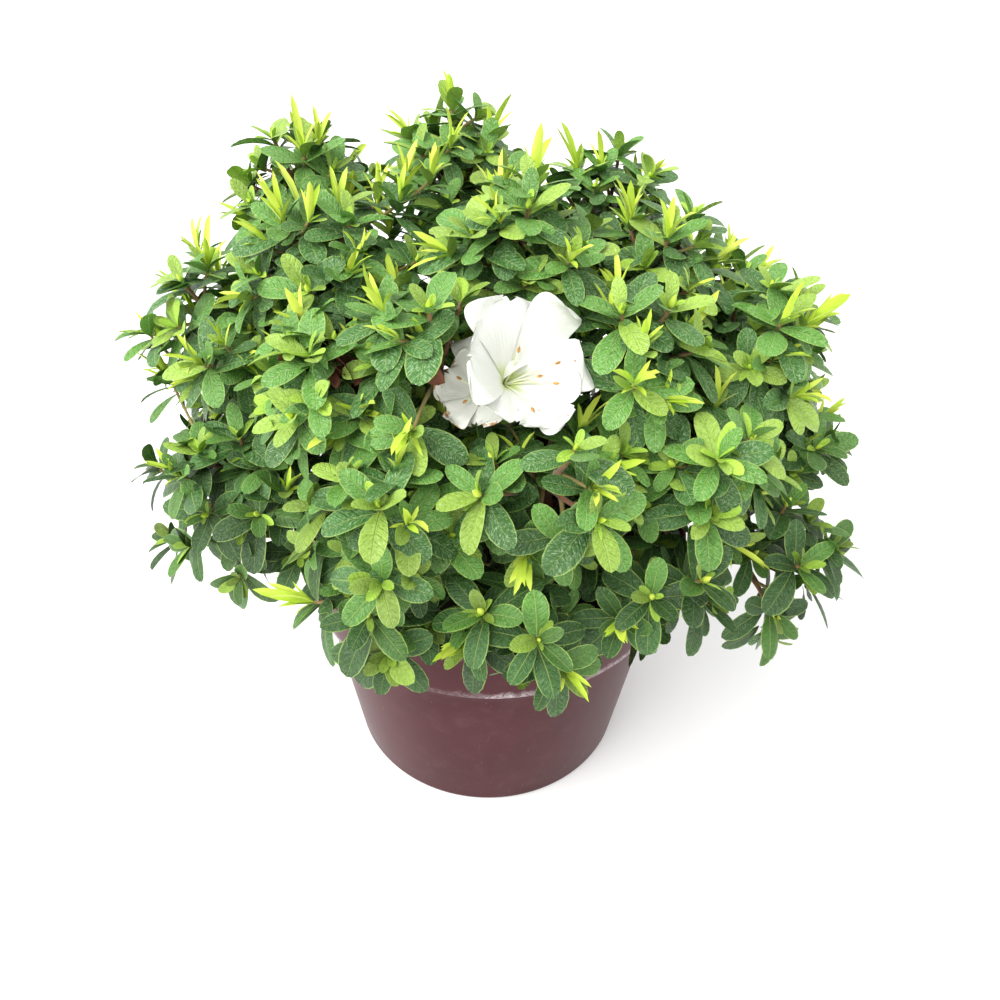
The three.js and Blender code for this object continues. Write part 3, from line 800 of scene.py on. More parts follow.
def pot_profile(rounding):
    """The pot's half profile without its ends on the axis: foot, body, a stepped band above it, a rolled lip,
    and the inside back down."""
    lip_foot = POT_HEIGHT - LIP_HEIGHT
    outer = RIM_RADIUS - rounding
    inner = WALL_TOP - POT_WALL
    step = BAND_FOOT + 1
    inner_band = (BAND_FOOT_RADIUS - POT_WALL, BAND_FOOT + STEP_HEIGHT)
    return [
        *run((FOOT_RADIUS - 9, DISH), (FOOT_RADIUS - 7.6, 0), 2),
        *arc((FOOT_RADIUS - FOOT_ROUNDING, FOOT_ROUNDING), FOOT_ROUNDING, -90, 0, 6),
        *run((FOOT_RADIUS + 0.1, FOOT_ROUNDING + 1), (BODY_TOP_RADIUS - 0.4, BAND_FOOT - 2), 14),
        *run((BODY_TOP_RADIUS - 0.1, BAND_FOOT - 1), (BODY_TOP_RADIUS + 0.4, BAND_FOOT - 0.1), 2),
        *run((BODY_TOP_RADIUS + 1.2, BAND_FOOT + 0.2), (BAND_FOOT_RADIUS - 0.9, step - 0.5), 3),
        *run((BAND_FOOT_RADIUS - 0.3, step - 0.2), (BAND_FOOT_RADIUS, step + 0.6), 2),
        *run((BAND_FOOT_RADIUS + 0.05, step + 1.2), (WALL_TOP - 0.1, lip_foot - 0.6), 8),
        *run((WALL_TOP, lip_foot - 0.1), (outer, lip_foot), 2),
        *arc((outer, lip_foot + rounding), rounding, -90, 0, 4),
        *arc((outer, POT_HEIGHT - rounding), rounding, 0, 90, 4),
        *arc((inner + rounding, POT_HEIGHT - rounding), rounding, 90, 180, 4),
        *run((inner - 0.1, POT_HEIGHT - 3), inner_band, 4),
        *run(inner_band, (BODY_TOP_RADIUS - POT_WALL, BAND_FOOT), 2),
        *run((BODY_TOP_RADIUS - POT_WALL, BAND_FOOT - 0.5), (FOOT_RADIUS - POT_WALL, POT_FLOOR), 4),
        (FOOT_RADIUS - POT_WALL, POT_FLOOR),
    ]


def drill_drains(pot):
    """Cuts the round drain holes through the pot's floor, with rods that reach past it on either side."""
    at = round_turn(DRAINS) + math.pi / DRAINS
    middles = DRAIN_RING * np.stack([np.cos(at), np.sin(at), 0 * at], -1)
    rod = turned([(DRAIN_RADIUS, -2.0), (DRAIN_RADIUS, POT_FLOOR + 0.6)], 24)
    drill = tube_object("drill", middles[:, None, None] + rod, None)
    cut = pot.modifiers.new("drains", "BOOLEAN")
    cut.operation, cut.solver, cut.object = "DIFFERENCE", "EXACT", drill
    bpy.context.view_layer.update()
    solid = bpy.data.meshes.new_from_object(pot.evaluated_get(bpy.context.evaluated_depsgraph_get()))
    pot.modifiers.remove(cut)
    pot.data = solid
    bpy.data.objects.remove(drill)


class AZALEA_OT_pot(bpy.types.Operator):
    """Turn the burgundy pot and drill its drains"""

    bl_idname = "azalea.pot"
    bl_label = "Pot"

    def execute(self, context):
        settings = context.scene.azalea_pot
        rings = turned(pot_profile(settings.lip_rounding / MM), 160)
        pot = turned_object("pot_shell", rings, DISH, POT_FLOOR, pot_plastic(settings))
        drill_drains(pot)
        dressed(pot, "pot_plastic", "pot")
        return {"FINISHED"}


def soil_height(x, y, heap):
    """The soil's top: flat towards the wall, raised round the trunk by a cosine mound, and lumpy by three
    sizes of noise."""
    radius = np.hypot(x, y)
    share = np.clip((radius - MOUND_RADIUS) / (WALL_TOP - 6 - MOUND_RADIUS), 0, 1)
    mound = SOIL_MOUND * (1 + np.cos(math.pi * share)) / 2
    places = np.stack([x, y, 0 * x], -1)
    lumps = sum(smooth_noise(places, size, size) / (i + 1.5) for i, size in enumerate((17, 7, 3)))
    near_trunk = np.clip((radius - TRUNK_FLARE - 2) / 8, 0, 1)
    return SOIL_TOP + mound + heap * near_trunk * (lumps - 0.35)


class AZALEA_OT_soil(bpy.types.Operator):
    """Fill the pot with lumpy soil and strew bark chips on it"""

    bl_idname = "azalea.soil"
    bl_label = "Soil"

    def execute(self, context):
        settings = context.scene.azalea_pot
        heap = settings.heap / MM
        columns, rows = 144, 46
        edge = WALL_TOP - POT_WALL - 2.6
        inset = POT_WALL + GAP
        low = POT_FLOOR + GAP
        wall = [
            (FOOT_RADIUS - inset - 0.5, low),
            (FOOT_RADIUS - inset, low + 0.5),
            (BODY_TOP_RADIUS - inset, BAND_FOOT - POT_WALL),
            (BAND_FOOT_RADIUS - inset, BAND_FOOT + STEP_HEIGHT),
        ]
        top = turned([(radius, 0) for radius in np.linspace(edge, 1.0, rows)], columns)
        top[..., 2] = soil_height(top[..., 0], top[..., 1], heap)
        high = float(soil_height(np.zeros(1), np.zeros(1), heap)[0])
        rings = np.concatenate([turned(wall, columns), top])
        soil = turned_object("soil_fill", rings, low, high, potting_soil(settings))
        dressed(soil, "soil", "soil")
        dressed(self.chips(settings, heap, edge), "soil")
        return {"FINISHED"}

    def chips(self, settings, heap, edge):
        """Bark chips: six-sided slabs with random sizes and tilts, half sunk in the soil's top."""
        dice = np.random.default_rng(SEED)
        count = CHIPS
        radius = edge * np.sqrt(dice.uniform(0.03, 0.93, count))
        around = dice.uniform(0, 2 * math.pi, count)
        x, y = radius * np.cos(around), radius * np.sin(around)
        middle = np.stack([x, y, soil_height(x, y, heap) + dice.uniform(0, 1.2, count)], -1)
        up = unit(np.stack([dice.normal(0, 0.5, count), dice.normal(0, 0.5, count), np.ones(count)], -1))
        long_way = cone(up, math.pi / 2, dice.uniform(0, 2 * math.pi, count))
        wide_way = np.cross(up, long_way)
        length = dice.uniform(2.5, 7.5, count)
        sizes = np.stack([length, length * dice.uniform(0.35, 0.7, count), dice.uniform(0.6, 1.6, count)], -1)
        ring = turned([(1, 0)], 6)[..., :2] * dice.uniform(0.7, 1.15, (count, 6, 1))
        points = []
        for level, taper in ((-0.5, 0.85), (0.2, 1.0), (0.5, 0.75)):
            flat = middle[:, None] + taper * 0.5 * (
                long_way[:, None] * (ring[..., :1] * sizes[:, None, :1])
                + wide_way[:, None] * (ring[..., 1:] * sizes[:, None, 1:2])
            )
            points.append(flat + (up * sizes[:, 2:] * level)[:, None])
        shade = dice.uniform(0, 1, (count, 1, 1))
        return tube_object("bark_chips", np.stack(points, 1), bark_chip(settings), shade=shade)


# ---------------------------------------------------------------- trunk, boughs and twigs


def bark_relief(grid, depth, seed):
    """Ridges that run along a limb, broken up by noise: noise stretched four times lengthwise, plus small
    knobs, as a share of the radius."""
    ridges = smooth_noise(grid * [1, 1, 0.3], 2.6, seed)
    knobs = smooth_noise(grid, 6.0, seed + 1)
    return depth * (0.7 * ridges + 0.5 * knobs)


class AZALEA_OT_wood(bpy.types.Operator):
    """Model the trunk and the boughs with the relief of their bark"""

    bl_idname = "azalea.wood"
    bl_label = "Trunk and boughs"

    def execute(self, context):
        settings = context.scene.azalea_wood
        bark = old_bark(settings)
        self.trunk(settings, bark)
        for name, radii in (("main_boughs", BOUGH_RADII), ("side_boughs", SIDE_BOUGH_RADII)):
            boughs = {label: bough for label, bough in BOUGHS.items() if bough[1] is radii}
            self.boughs(name, boughs, settings.relief, bark)
        return {"FINISHED"}

    def trunk(self, settings, bark):
        """The trunk: its radius falls from the flare to the neck as (1 - t)^3, waved into root ridges near
        the soil."""
        rings, sides = 60, 48
        t = np.linspace(0, 1, rings)
        line = bezier(trunk_points(), t)
        radii = TRUNK_NECK + (TRUNK_FLARE - TRUNK_NECK) * (1 - t) ** 3
        grid = tube_grid(line, radii, sides)
        turn = round_turn(sides)
        roots = 0.12 * ((1 - t) ** 4)[:, None] * np.sin(5 * turn + 0.6 * np.sin(2 * turn))
        relief = roots + bark_relief(grid, settings.relief, 3)
        points = tube_grid(line, radii * 0.97, sides, relief)
        points[0, :, 2] = TRUNK_FOOT
        dressed(tube_object("trunk_bark", points, bark, along=0.0), "bark", "trunk")

    def boughs(self, name, boughs, depth, bark):
        """Boughs: tubes along their lines, swollen by a collar where they leave their parent."""
        sides = 14
        t = np.linspace(0, 1, 44)
        lines = np.stack([bezier(points, t) for points, _ in boughs.values()])
        roots, tips = np.array([radii for _, radii in boughs.values()]).T[..., None]
        radii = (roots + (tips - roots) * t) * (1 + 0.35 * np.exp(-t * 18))
        grid = tube_grid(lines, radii, sides)
        points = tube_grid(lines, radii * 0.95, sides, bark_relief(grid, depth, 5))
        piece = tube_object(name, points, bark, along=t[:, None] ** 2)
        dressed(piece, "bark", *["bough_" + label for label in boughs])


def cell_limit(own, other):
    """How far along the line to another spray a spray's own space goes: the planes of a power diagram."""
    between = other.middle - own.middle
    distance = np.linalg.norm(between)
    return between / distance, (distance**2 + own.size**2 - other.size**2) / (2 * distance) - CELL_MARGIN


def past_cell(points, own, slack=0.0):
    """How far, at most, points reach past the planes between their spray and the others."""
    most = np.full(points.shape[:-1], -np.inf)
    for other in CARRIED:
        if other is not own:
            way, limit = cell_limit(own, other)
            most = np.maximum(most, (points - own.middle) @ way - limit - slack)
    return most


def near_pot(points, clear):
    """True for points inside the pot, its wall or its soil, or within `clear` of them."""
    radius, height = np.hypot(points[..., 0], points[..., 1]), points[..., 2]
    mouth = WALL_TOP - POT_WALL - clear
    outer = np.where(height > BAND_FOOT - clear, RIM_RADIUS, BODY_TOP_RADIUS) + clear
    in_wall = (height < POT_HEIGHT + clear) & (radius < outer) & (radius > mouth)
    in_soil = (height < SOIL_TOP + SOIL_MOUND + clear) & (radius <= mouth)
    return in_wall | in_soil


BOUGH_LINES = {name: bezier(points, np.linspace(0, 1, 30)) for name, (points, _) in BOUGHS.items()}


def clear_of_boughs(points, own, clear):
    """True if no point comes within `clear` of a bough that isn't the spray's own."""
    others = np.concatenate([line for name, line in BOUGH_LINES.items() if name != own.name])
    gaps = np.linalg.norm(points[:, None] - others[None], axis=-1)
    return gaps.min() > clear


FLOWER_HEADS = [
    {
        "shift": (-2.7, -3.2, -4.2),
        "facing": (0.448, -0.591, 0.67),
        "radius": 28.0,
        "depth": 0.66,
        "angles": (78, 150, 236, 312, 14),
        "reach": (1.08, 0.88, 0.78, 0.88, 1.04),
        "peak": (0.0, 0.0, 0.0, 0.0, 0.3),
        "wilt": 0.0,
        "stamens": [(12, -8, 14), (3.6, 9, 11), (-2.3, -14.5, 13.5), (8, -3, 11), (15, -1, 16)],
    },
    {
        "shift": (-12.8, -0.3, -10.4),
        "facing": (-0.28, -0.73, 0.63),
        "radius": 17.0,
        "depth": 0.5,
        "angles": (88, 165, 225, 285, 15),
        "reach": (1.35, 0.95, 0.95, 0.92, 0.42),
        "peak": (0.06, 0.0, 0.14, 0.0, 0.0),
        "wilt": 0.5,
        "stamens": [(-5, 7, 9), (-3, -6, 8), (-7, 2, 10)],
    },
]


def flower_frame(head):
    """A flower's middle and its own axes: to its right, up and out along its facing."""
    out = unit(np.array(head["facing"]))
    right = unit(np.cross(UP, out))
    return FLOWERS.middle + np.array(head["shift"]), right, np.cross(out, right), out


def funnel_height(head, spread):
    """How far out along a flower's facing its funnel has risen, at radius `spread` from its axis: with x the
    share of the flower's radius, depth x (1.25 x - 0.25 x^2) x radius, its rim bent back a little."""
    x = spread / head["radius"]
    return head["radius"] * (head["depth"] * (1.25 * x - 0.25 * x**2) - 0.1 * x**5)


def near_flowers(points, clear):
    """True for points in a flower's bowl: within its petals' reach, and from just below them to a bowl's
    depth above them."""
    hit = np.zeros(points.shape[:-1], bool)
    for head in FLOWER_HEADS:
        place, _, _, out = flower_frame(head)
        offset = points - place
        level = offset @ out
        spread = np.linalg.norm(offset - level[..., None] * out, axis=-1)
        petal = funnel_height(head, spread)
        within = (level > petal - 3 - clear) & (level < petal + 20 + clear)
        hit |= within & (spread < 1.1 * head["radius"] + clear)
    return hit


def blocked(points, pot_clear, flower_clear):
    """True if any of the points comes near the pot or stands in a flower's bowl."""
    return near_pot(points, pot_clear).any() or near_flowers(points, flower_clear).any()


class Plant:
    """What has grown so far: twigs as rows of start, bend, end, share of the root's radius and order, and
    rosettes as rows of end, way, size and spray number."""

    def __init__(self):
        self.twigs, self.rosettes = [], []

    def twig(self, start, way, end, kind):
        """A twig that leaves along `way`, sags a little and turns up to its end."""
        length = np.linalg.norm(end - start)
        bend = start + (0.45 * unit(way) - 0.1 * UP) * length
        self.twigs.append((start, bend, end, *kind))

    def rosette(self, end, way, size, number):
        """A rosette of leaves round a twig's end, turned up to the light."""
        self.rosettes.append((end, unit(way + TURN_TO_LIGHT * UP), size, number))

    def crowded(self, end, apart):
        """True if a rosette stands within `apart` of this place, or further where it is low at the front."""
        apart = apart * (1 + 0.5 * np.clip((228 - end[2]) / 30, 0, 1) * np.clip(-end[1] / 40, 0, 1))
        ends = np.array([row[0] for row in self.rosettes] or [[0.0, 0.0, -999.0]])
        return np.linalg.norm(ends - end, axis=1).min() < apart

    def side_twig(self, root, way, side, spray, number, plan):
        """A side twig in the first of three shorter lengths that finds room, with its rosette. `plan` is its
        full length, its kind, its rosette's size, how far apart rosettes stay and how far it may lean over
        into a neighbour's space."""
        length, kind, size, apart, slack = plan
        for share in SIDE_SHORTER:
            end = root + side * length * share
            ahead = np.stack([end, end + side * LEAVES_AHEAD])
            roomy = past_cell(ahead, spray, slack).max() < 0 and not self.crowded(end, apart)
            if roomy and not blocked(ahead, 2.5, 1.0):
                self.twig(root, unit(way + side), end, kind)
                self.rosette(end, side, size, number)
                return end
        return None


# Each kind of twig: its radius at the root, as a share of the usual twig's, and the order of its branching.
STEM, SHOOT, SIDE, FINER, SPUR, FILLER = (2.0, 0), (1.35, 1), (1.0, 2), (0.8, 3), (0.9, 2), (0.95, 2)
LEAVES_AHEAD, SPUR_LEAVES_AHEAD = 13.0, 9.0
LEAN_OVER, FLANK_LEAN_OVER = 5.0, 16.0
TURN_TO_LIGHT = 0.6
SIDE_SHORTER = (1.0, 0.74, 0.5)
# fmt: off
FILLED_NOTCH = [
    (-46, 0, 342), (-32, 12, 350), (-60, 22, 335), (-36, -28, 325), (-45, -20, 303), (-29, -45, 304),
    (-52, 10, 323), (-39, 18, 325), (-23, -18, 308), (-49, 0, 310), (-39, -42, 297), (-53, -20, 292),
    (-38, 22, 286), (-47, 32, 343), (-27, -10, 322), (-59, -5, 314),
]
FILLED_EDGE = [
    (-172, -18, 282), (-166, 22, 286), (-158, 34, 302), (-176, -38, 215), (-166, -60, 184), (-163, -24, 257),
]
# fmt: on
SHOOT_SIDES = (0.3, 0.58)
SPURS = (0.34, 0.5, 0.64, 0.78, 0.9)
FLANKS = 7
ROSETTES_APART = 11.5
FURTHER_APART = 1.3 * ROSETTES_APART


def shoot_share(spray, out, reach, start):
    """The first of the shorter shares at which a shoot keeps to its spray's space and clear of limbs."""
    for share in SHORTER:
        tip = spray.middle + out * reach * share
        way = unit(tip - start)
        line = start + np.linspace(0.2, 1, 8)[:, None] * (tip + way * YOUNG_SHOOT - start)
        roomy = past_cell(line, spray).max() < 0 and clear_of_boughs(line, spray, 4.2)
        if roomy and not blocked(line, 1.0, 3.0):
            return share
    return None


def grow_shoots(plant, spray, number):
    """A spray's stem and shoots. Returns the lines that side twigs grow from, as start, end and way."""
    plant.twig(spray.stem_start - spray.facing * 2, spray.facing, spray.middle, STEM)
    lines = [(spray.stem_start, spray.middle, spray.facing)]
    for out, reach, start in spray.shoot_plans():
        share = shoot_share(spray, out, reach, start)
        if share is None:
            continue
        tip = spray.middle + out * reach * share
        way = unit(tip - start)
        plant.twig(start, unit(way + 0.4 * spray.facing), tip, SHOOT)
        plant.rosette(tip, way, 1.03 if share == 1.0 else 0.95, number)
        lines.append((start, tip, way))
    return lines


def grow_sides(plant, spray, number, lines, dice):
    """Two side twigs on each shoot, each a golden angle further round, and a finer twig on each of them."""
    for j, (start, tip, way) in enumerate(lines):
        span = max(np.linalg.norm(tip - start), 30.0)
        for k, at in enumerate(SHOOT_SIDES):
            around = (2 * j + k) * GOLDEN_ANGLE + dice.uniform(0, 0.9)
            side = unit(cone(way, math.radians(dice.uniform(40, 64)), around) + 0.2 * UP)
            root = start + (tip - start) * at
            length = span * (0.72 - 0.4 * at) * dice.uniform(0.9, 1.12)
            plan = (length, SIDE, dice.uniform(0.82, 0.98), ROSETTES_APART, LEAN_OVER)
            end = plant.side_twig(root, way, side, spray, number, plan)
            if end is None:
                continue
            finer = unit(cone(side, math.radians(dice.uniform(45, 65)), around + 2.2) + 0.3 * UP)
            plan = (dice.uniform(9, 14), FINER, dice.uniform(0.66, 0.84), ROSETTES_APART, LEAN_OVER)
            plant.side_twig(root + (end - root) * 0.5, side, finer, spray, number, plan)


def grow_flanks(plant, spray, number, dice):
    """Longer twigs that leave a spray's stem sideways and close the room towards its neighbours, where no
    rosette stands yet."""
    for k in range(FLANKS):
        polar, around = math.radians(dice.uniform(72, 108)), k * GOLDEN_ANGLE + number
        side = unit(cone(spray.facing, polar, around) + 0.25 * UP)
        root = spray.stem_start + (0.15 + 0.8 * k / FLANKS) * (spray.middle - spray.stem_start)
        plan = (dice.uniform(34, 46), SIDE, dice.uniform(0.85, 1.0), FURTHER_APART, FLANK_LEAN_OVER)
        plant.side_twig(root, spray.facing, side, spray, number, plan)


def grow_spurs(plant, spray, number, dice):
    """Short leafy spurs along the upper two thirds of a bough, a golden angle apart."""
    points = BOUGHS[spray.name][0]
    places = bezier(points, SPURS)
    ways = unit(bezier(points, np.array(SPURS) + 0.02) - places)
    for k, (place, way) in enumerate(zip(places, ways)):
        side = unit(cone(way, math.radians(dice.uniform(50, 75)), k * GOLDEN_ANGLE + number) + 0.35 * UP)
        end = place + side * dice.uniform(14, 28)
        ahead = np.stack([end, end + side * SPUR_LEAVES_AHEAD])
        if not blocked(ahead, 4.0, 3.0) and not plant.crowded(end, FURTHER_APART):
            plant.twig(place, unit(way + side), end, SPUR)
            plant.rosette(end, side, dice.uniform(0.72, 0.9), number)


def grow_fillers(plant):
    """A twig with its rosette to each place to be filled in the crown's notch and at its left edge, from the
    nearest point of a bough or twig that lies lower down."""
    middles = np.array([spray.middle for spray in SPRAY_LIST])
    for place in np.array([*FILLED_NOTCH, *FILLED_EDGE], float):
        shares = np.linspace(0.1, 0.9, 9)[:, None]
        twigs = np.concatenate([row[0] + (row[2] - row[0]) * shares for row in plant.twigs])
        points = np.concatenate([twigs, *BOUGH_LINES.values()])
        points = points[points[:, 2] < place[2] - 8]
        root = points[np.argmin(np.linalg.norm(points - place, axis=1))]
        way = unit(unit(place - root) + unit(place - HEART_HEIGHT * UP))
        number = int(np.argmin(np.linalg.norm(middles - place, axis=1)))
        plant.twig(root, place - root, place, FILLER)
        plant.rosette(place, way, 0.88, number)


def grow_plant():
    """Every spray's shoots first, then the side twigs, the fillers and flanks, and the boughs' spurs last."""
    plant = Plant()
    dice = [np.random.default_rng(Dice(spray.name).state) for spray in SPRAY_LIST]
    lines = [grow_shoots(plant, spray, number) for number, spray in enumerate(SPRAY_LIST)]
    for number, spray in enumerate(SPRAY_LIST):
        grow_sides(plant, spray, number, lines[number], dice[number])
    grow_fillers(plant)
    for number, spray in enumerate(SPRAY_LIST):
        grow_flanks(plant, spray, number, dice[number])
    for number, spray in enumerate(SPRAY_LIST):
        grow_spurs(plant, spray, number, dice[number])
    return plant


PLANT = grow_plant()


class AZALEA_OT_twigs(bpy.types.Operator):
    """Carry each bough on into its stem, shoots, side twigs and spurs"""

    bl_idname = "azalea.twigs"
    bl_label = "Twigs"

    def execute(self, context):
        settings = context.scene.azalea_wood
        scale = settings.twig_radius / MM
        sides = 7
        starts, bends, ends = (np.array([row[i] for row in PLANT.twigs]) for i in range(3))
        roots = np.array([row[3] for row in PLANT.twigs])[:, None] * scale
        order = np.array([row[4] for row in PLANT.twigs])[:, None]
        t = np.linspace(0, 1, 6)
        lines = bezier([starts, bends, ends], t)
        radii = roots * (1 - 0.38 * t)
        knots = 0.18 * smooth_noise(tube_grid(lines, radii, sides), 3.2, 8)
        points = tube_grid(lines, radii, sides, knots)
        age = np.clip(0.5 * order + 0.5 * t - 0.35, 0, 1)
        dressed(tube_object("twigs", points, young_bark(settings), along=age[..., None]), "bark")
        return {"FINISHED"}


# ---------------------------------------------------------------- leaves

GROWN = (np.array([0.0, 0.12, 0.3, 0.5, 0.68, 0.84, 0.95, 1.0]), np.linspace(-1, 1, 5))
SMALL = (np.array([0.0, 0.25, 0.55, 0.82, 1.0]), np.linspace(-1, 1, 3))
STALK_WIDTH = 0.1
DRY_PLACES = np.array([(-14, -93, 325), (-62, -100, 326), (30, -96, 235), (-40, 90, 250)], float)
DRY_WHORL = 4
YOUNGEST_DEEP, YOUNGEST_MIDDLE = 0.36, 0.8


def leaf_outline(share, widest, blunt):
    """Half width from 0 to 1 along a leaf: s^p (1 - s)^q over its top value, widest at s = p / (p + q), no
    narrower than the leaf's stalk, and nothing at the tip."""
    power = blunt * widest / (1 - widest)
    top = widest**power * (1 - widest) ** blunt
    return np.where(share < 1, np.maximum(share**power * (1 - share) ** blunt / top, STALK_WIDTH), 0)


def leaf_points(rows, grid=GROWN, widest=0.6, blunt=0.56):
    """Leaves as sheets. At share s of its length a leaf has turned down by s x droop along an arc, and at
    t across, from -1 to 1, it lies half width x outline x t to the side and stands up by
    fold |t| - curl t^4 of its half width. `rows` holds arrays: root, along, face, length, width, droop,
    fold, curl and twist. The last row is one point, the tip."""
    root, along, face = (rows[key][:, None, None, :] for key in ("root", "along", "face"))
    length, width, droop, fold, curl, twist = (
        rows[key][:, None, None] for key in ("length", "width", "droop", "fold", "curl", "twist")
    )
    side = unit(np.cross(face, along))
    lift = np.cross(along, side)
    s, t = grid[0][:, None], grid[1][None, :]
    turn = droop * s
    forward = length * np.sin(turn) / droop
    down = length * (1 - np.cos(turn)) / droop
    half = 0.5 * width * length * leaf_outline(s, widest, blunt)
    spin = twist * s
    sideways = half * t * np.cos(spin)
    up = half * (fold * np.abs(t) - curl * t**4) + half * t * np.sin(spin)
    local_lift = lift * np.cos(turn)[..., None] + along * np.sin(turn)[..., None]
    spine = root + along * forward[..., None] - lift * down[..., None]
    points = spine + side * sideways[..., None] + local_lift * up[..., None]
    count = len(points)
    return np.concatenate([points[:, :-1].reshape(count, -1, 3), points[:, -1, :1]], 1)


def leaf_sheet(name, rows, material, grid=GROWN, widest=0.6, blunt=0.56):
    """One mesh of many leaves, with where each point lies on its leaf in two UV maps."""
    points = leaf_points(rows, grid, widest, blunt)
    shares, columns = grid[0][:-1], len(grid[1])
    count, each = points.shape[:2]
    quads = grid_faces(len(shares), columns)
    tips = fan_faces(each - 1, each - 1 - columns + np.arange(columns))
    share = np.append(np.repeat(shares, columns), 1.0)
    across = np.append(np.tile(grid[1], len(shares)), 0.0)
    leaf = np.broadcast_to(np.stack([share, 0.5 + 0.5 * across], -1), (count, each, 2))
    sideways = 0.5 * rows["width"][:, None] * leaf_outline(share, widest, blunt) * across
    blade = np.stack([np.broadcast_to(share, sideways.shape), sideways], -1)
    shade = np.repeat(rows["shade"], each)
    faces = [repeated(quads, count, each), repeated(tips, count, each)]
    return mesh_object(name, points, faces, material, {"leaf": leaf, "blade": blade}, {"shade": shade})


def take(rows, chosen):
    """The chosen rows of a table of arrays."""
    return {key: column[chosen] for key, column in rows.items()}


def whorl(place, count, dice, polar, length, width, looks, below):
    """Leaves round one twig end as a table. `place` is the end, the way and the spray number. `polar`,
    `length`, `width` and `below`, how far down the twig a leaf's root sits, hold one value a leaf. `looks`
    holds the ranges for droop, fold and curl."""
    end, way, number = place
    around = np.arange(count) * GOLDEN_ANGLE + dice.uniform(0, 2 * math.pi) + dice.normal(0, 0.12, count)
    along = unit(cone(np.broadcast_to(way, (count, 3)), polar, around) - 0.05 * UP)
    droop, fold, curl = (dice.uniform(low, high, count) for low, high in looks)
    return {
        "root": end - way * below[:, None],
        "along": along,
        "face": unit(way + 0.3 * UP + dice.normal(0, 0.13, (count, 3))),
        "length": length,
        "width": width,
        "droop": droop,
        "fold": fold,
        "curl": curl,
        "twist": dice.normal(0, 0.17, count),
        "shade": dice.uniform(0, 1, count),
        "age": np.arange(count) / max(count - 1, 1),
        "spray": np.full(count, number),
    }


def joined_rows(tables):
    """Tables of arrays, one after the other."""
    return {key: np.concatenate([table[key] for table in tables]) for key in tables[0]}


# The kinds of leaves round a twig's end, where age goes from 0 at the tip to 1 at the lowest leaf:
# count   from how many leaves to fewer than how many
# lean    a, b, power and jitter of the angle from the twig, a + b age^power degrees
# length  a, b and power of a + b age^power, and between which factors chance spreads it
# width   a and b of a + b age, as a share of the length, and between which factors chance spreads it
# looks   the ranges for droop, fold and curl
# below   a and b of a + b age, how far below the end a leaf's root sits
KINDS = {
    "grown": {
        "count": (7, 11),
        "lean": (26, 60, 0.8, 7),
        "length": (0.55, 0.45, 0.5, 0.88, 1.1),
        "width": (0.92, 0.12, 0.88, 1.14),
        "looks": ((0.2, 0.8), (0.1, 0.5), (0.08, 0.3)),
        "below": (0.3, 6.5),
    },
    "lance": {
        "count": (4, 9),
        "lean": (4, 28, 1, 5),
        "length": (0.88, -0.42, 1, 0.75, 1.2),
        "width": (1, 0, 0.13, 0.2),
        "looks": ((0.1, 0.6), (0.4, 0.9), (0.0, 0.1)),
        "below": (0, 2.0),
    },
    "round_bud": {
        "count": (2, 5),
        "lean": (26, 30, 1, 6),
        "length": (0.26, 0.14, 1, 0.85, 1.15),
        "width": (1, 0, 0.32, 0.42),
        "looks": ((0.1, 0.5), (0.3, 0.6), (0.05, 0.2)),
        "below": (1.0, 1.0),
    },
    "opened": {
        "count": (3, 6),
        "lean": (18, 34, 1, 6),
        "length": (0.34, 0.2, 1, 0.85, 1.15),
        "width": (1, 0, 0.38, 0.5),
        "looks": ((0.2, 0.6), (0.2, 0.5), (0.05, 0.2)),
        "below": (1.0, 1.0),
    },
}


def kind_whorl(name, place, dice, length, width=1.0):
    """A whorl of one of the KINDS, whose sizes are shares of `length` and `width`."""
    kind = KINDS[name]
    count = int(dice.integers(*kind["count"]))
    age = np.arange(count) / (count - 1)
    base, more, power, jitter = kind["lean"]
    polar = np.radians(base + more * age**power + dice.normal(0, jitter, count))
    base, more, power, low, high = kind["length"]
    lengths = length * (base + more * age**power) * dice.uniform(low, high, count)
    base, more, low, high = kind["width"]
    widths = width * (base + more * age) * dice.uniform(low, high, count)
    base, more = kind["below"]
    return whorl(place, count, dice, polar, lengths, widths, kind["looks"], base + more * age)


def rosette_leaves(length, width):
    """The grown leaves round each twig end: golden-angle steps, each leaf lower, longer and flatter than the
    last, its face turned to the tip and to the light."""
    dice = np.random.default_rng(SEED + 1)
    whorls = [
        kind_whorl("grown", (end, way, number), dice, size * length, width)
        for end, way, size, number in PLANT.rosettes
    ]
    return joined_rows(whorls)


def kept_leaves(rows):
    """The leaves that touch neither pot nor soil and don't stand in the flowers."""
    points = leaf_points(rows)
    clash = near_pot(points, 0.6).any(1) | near_flowers(points, -1.0).any(1)
    return take(rows, ~clash)


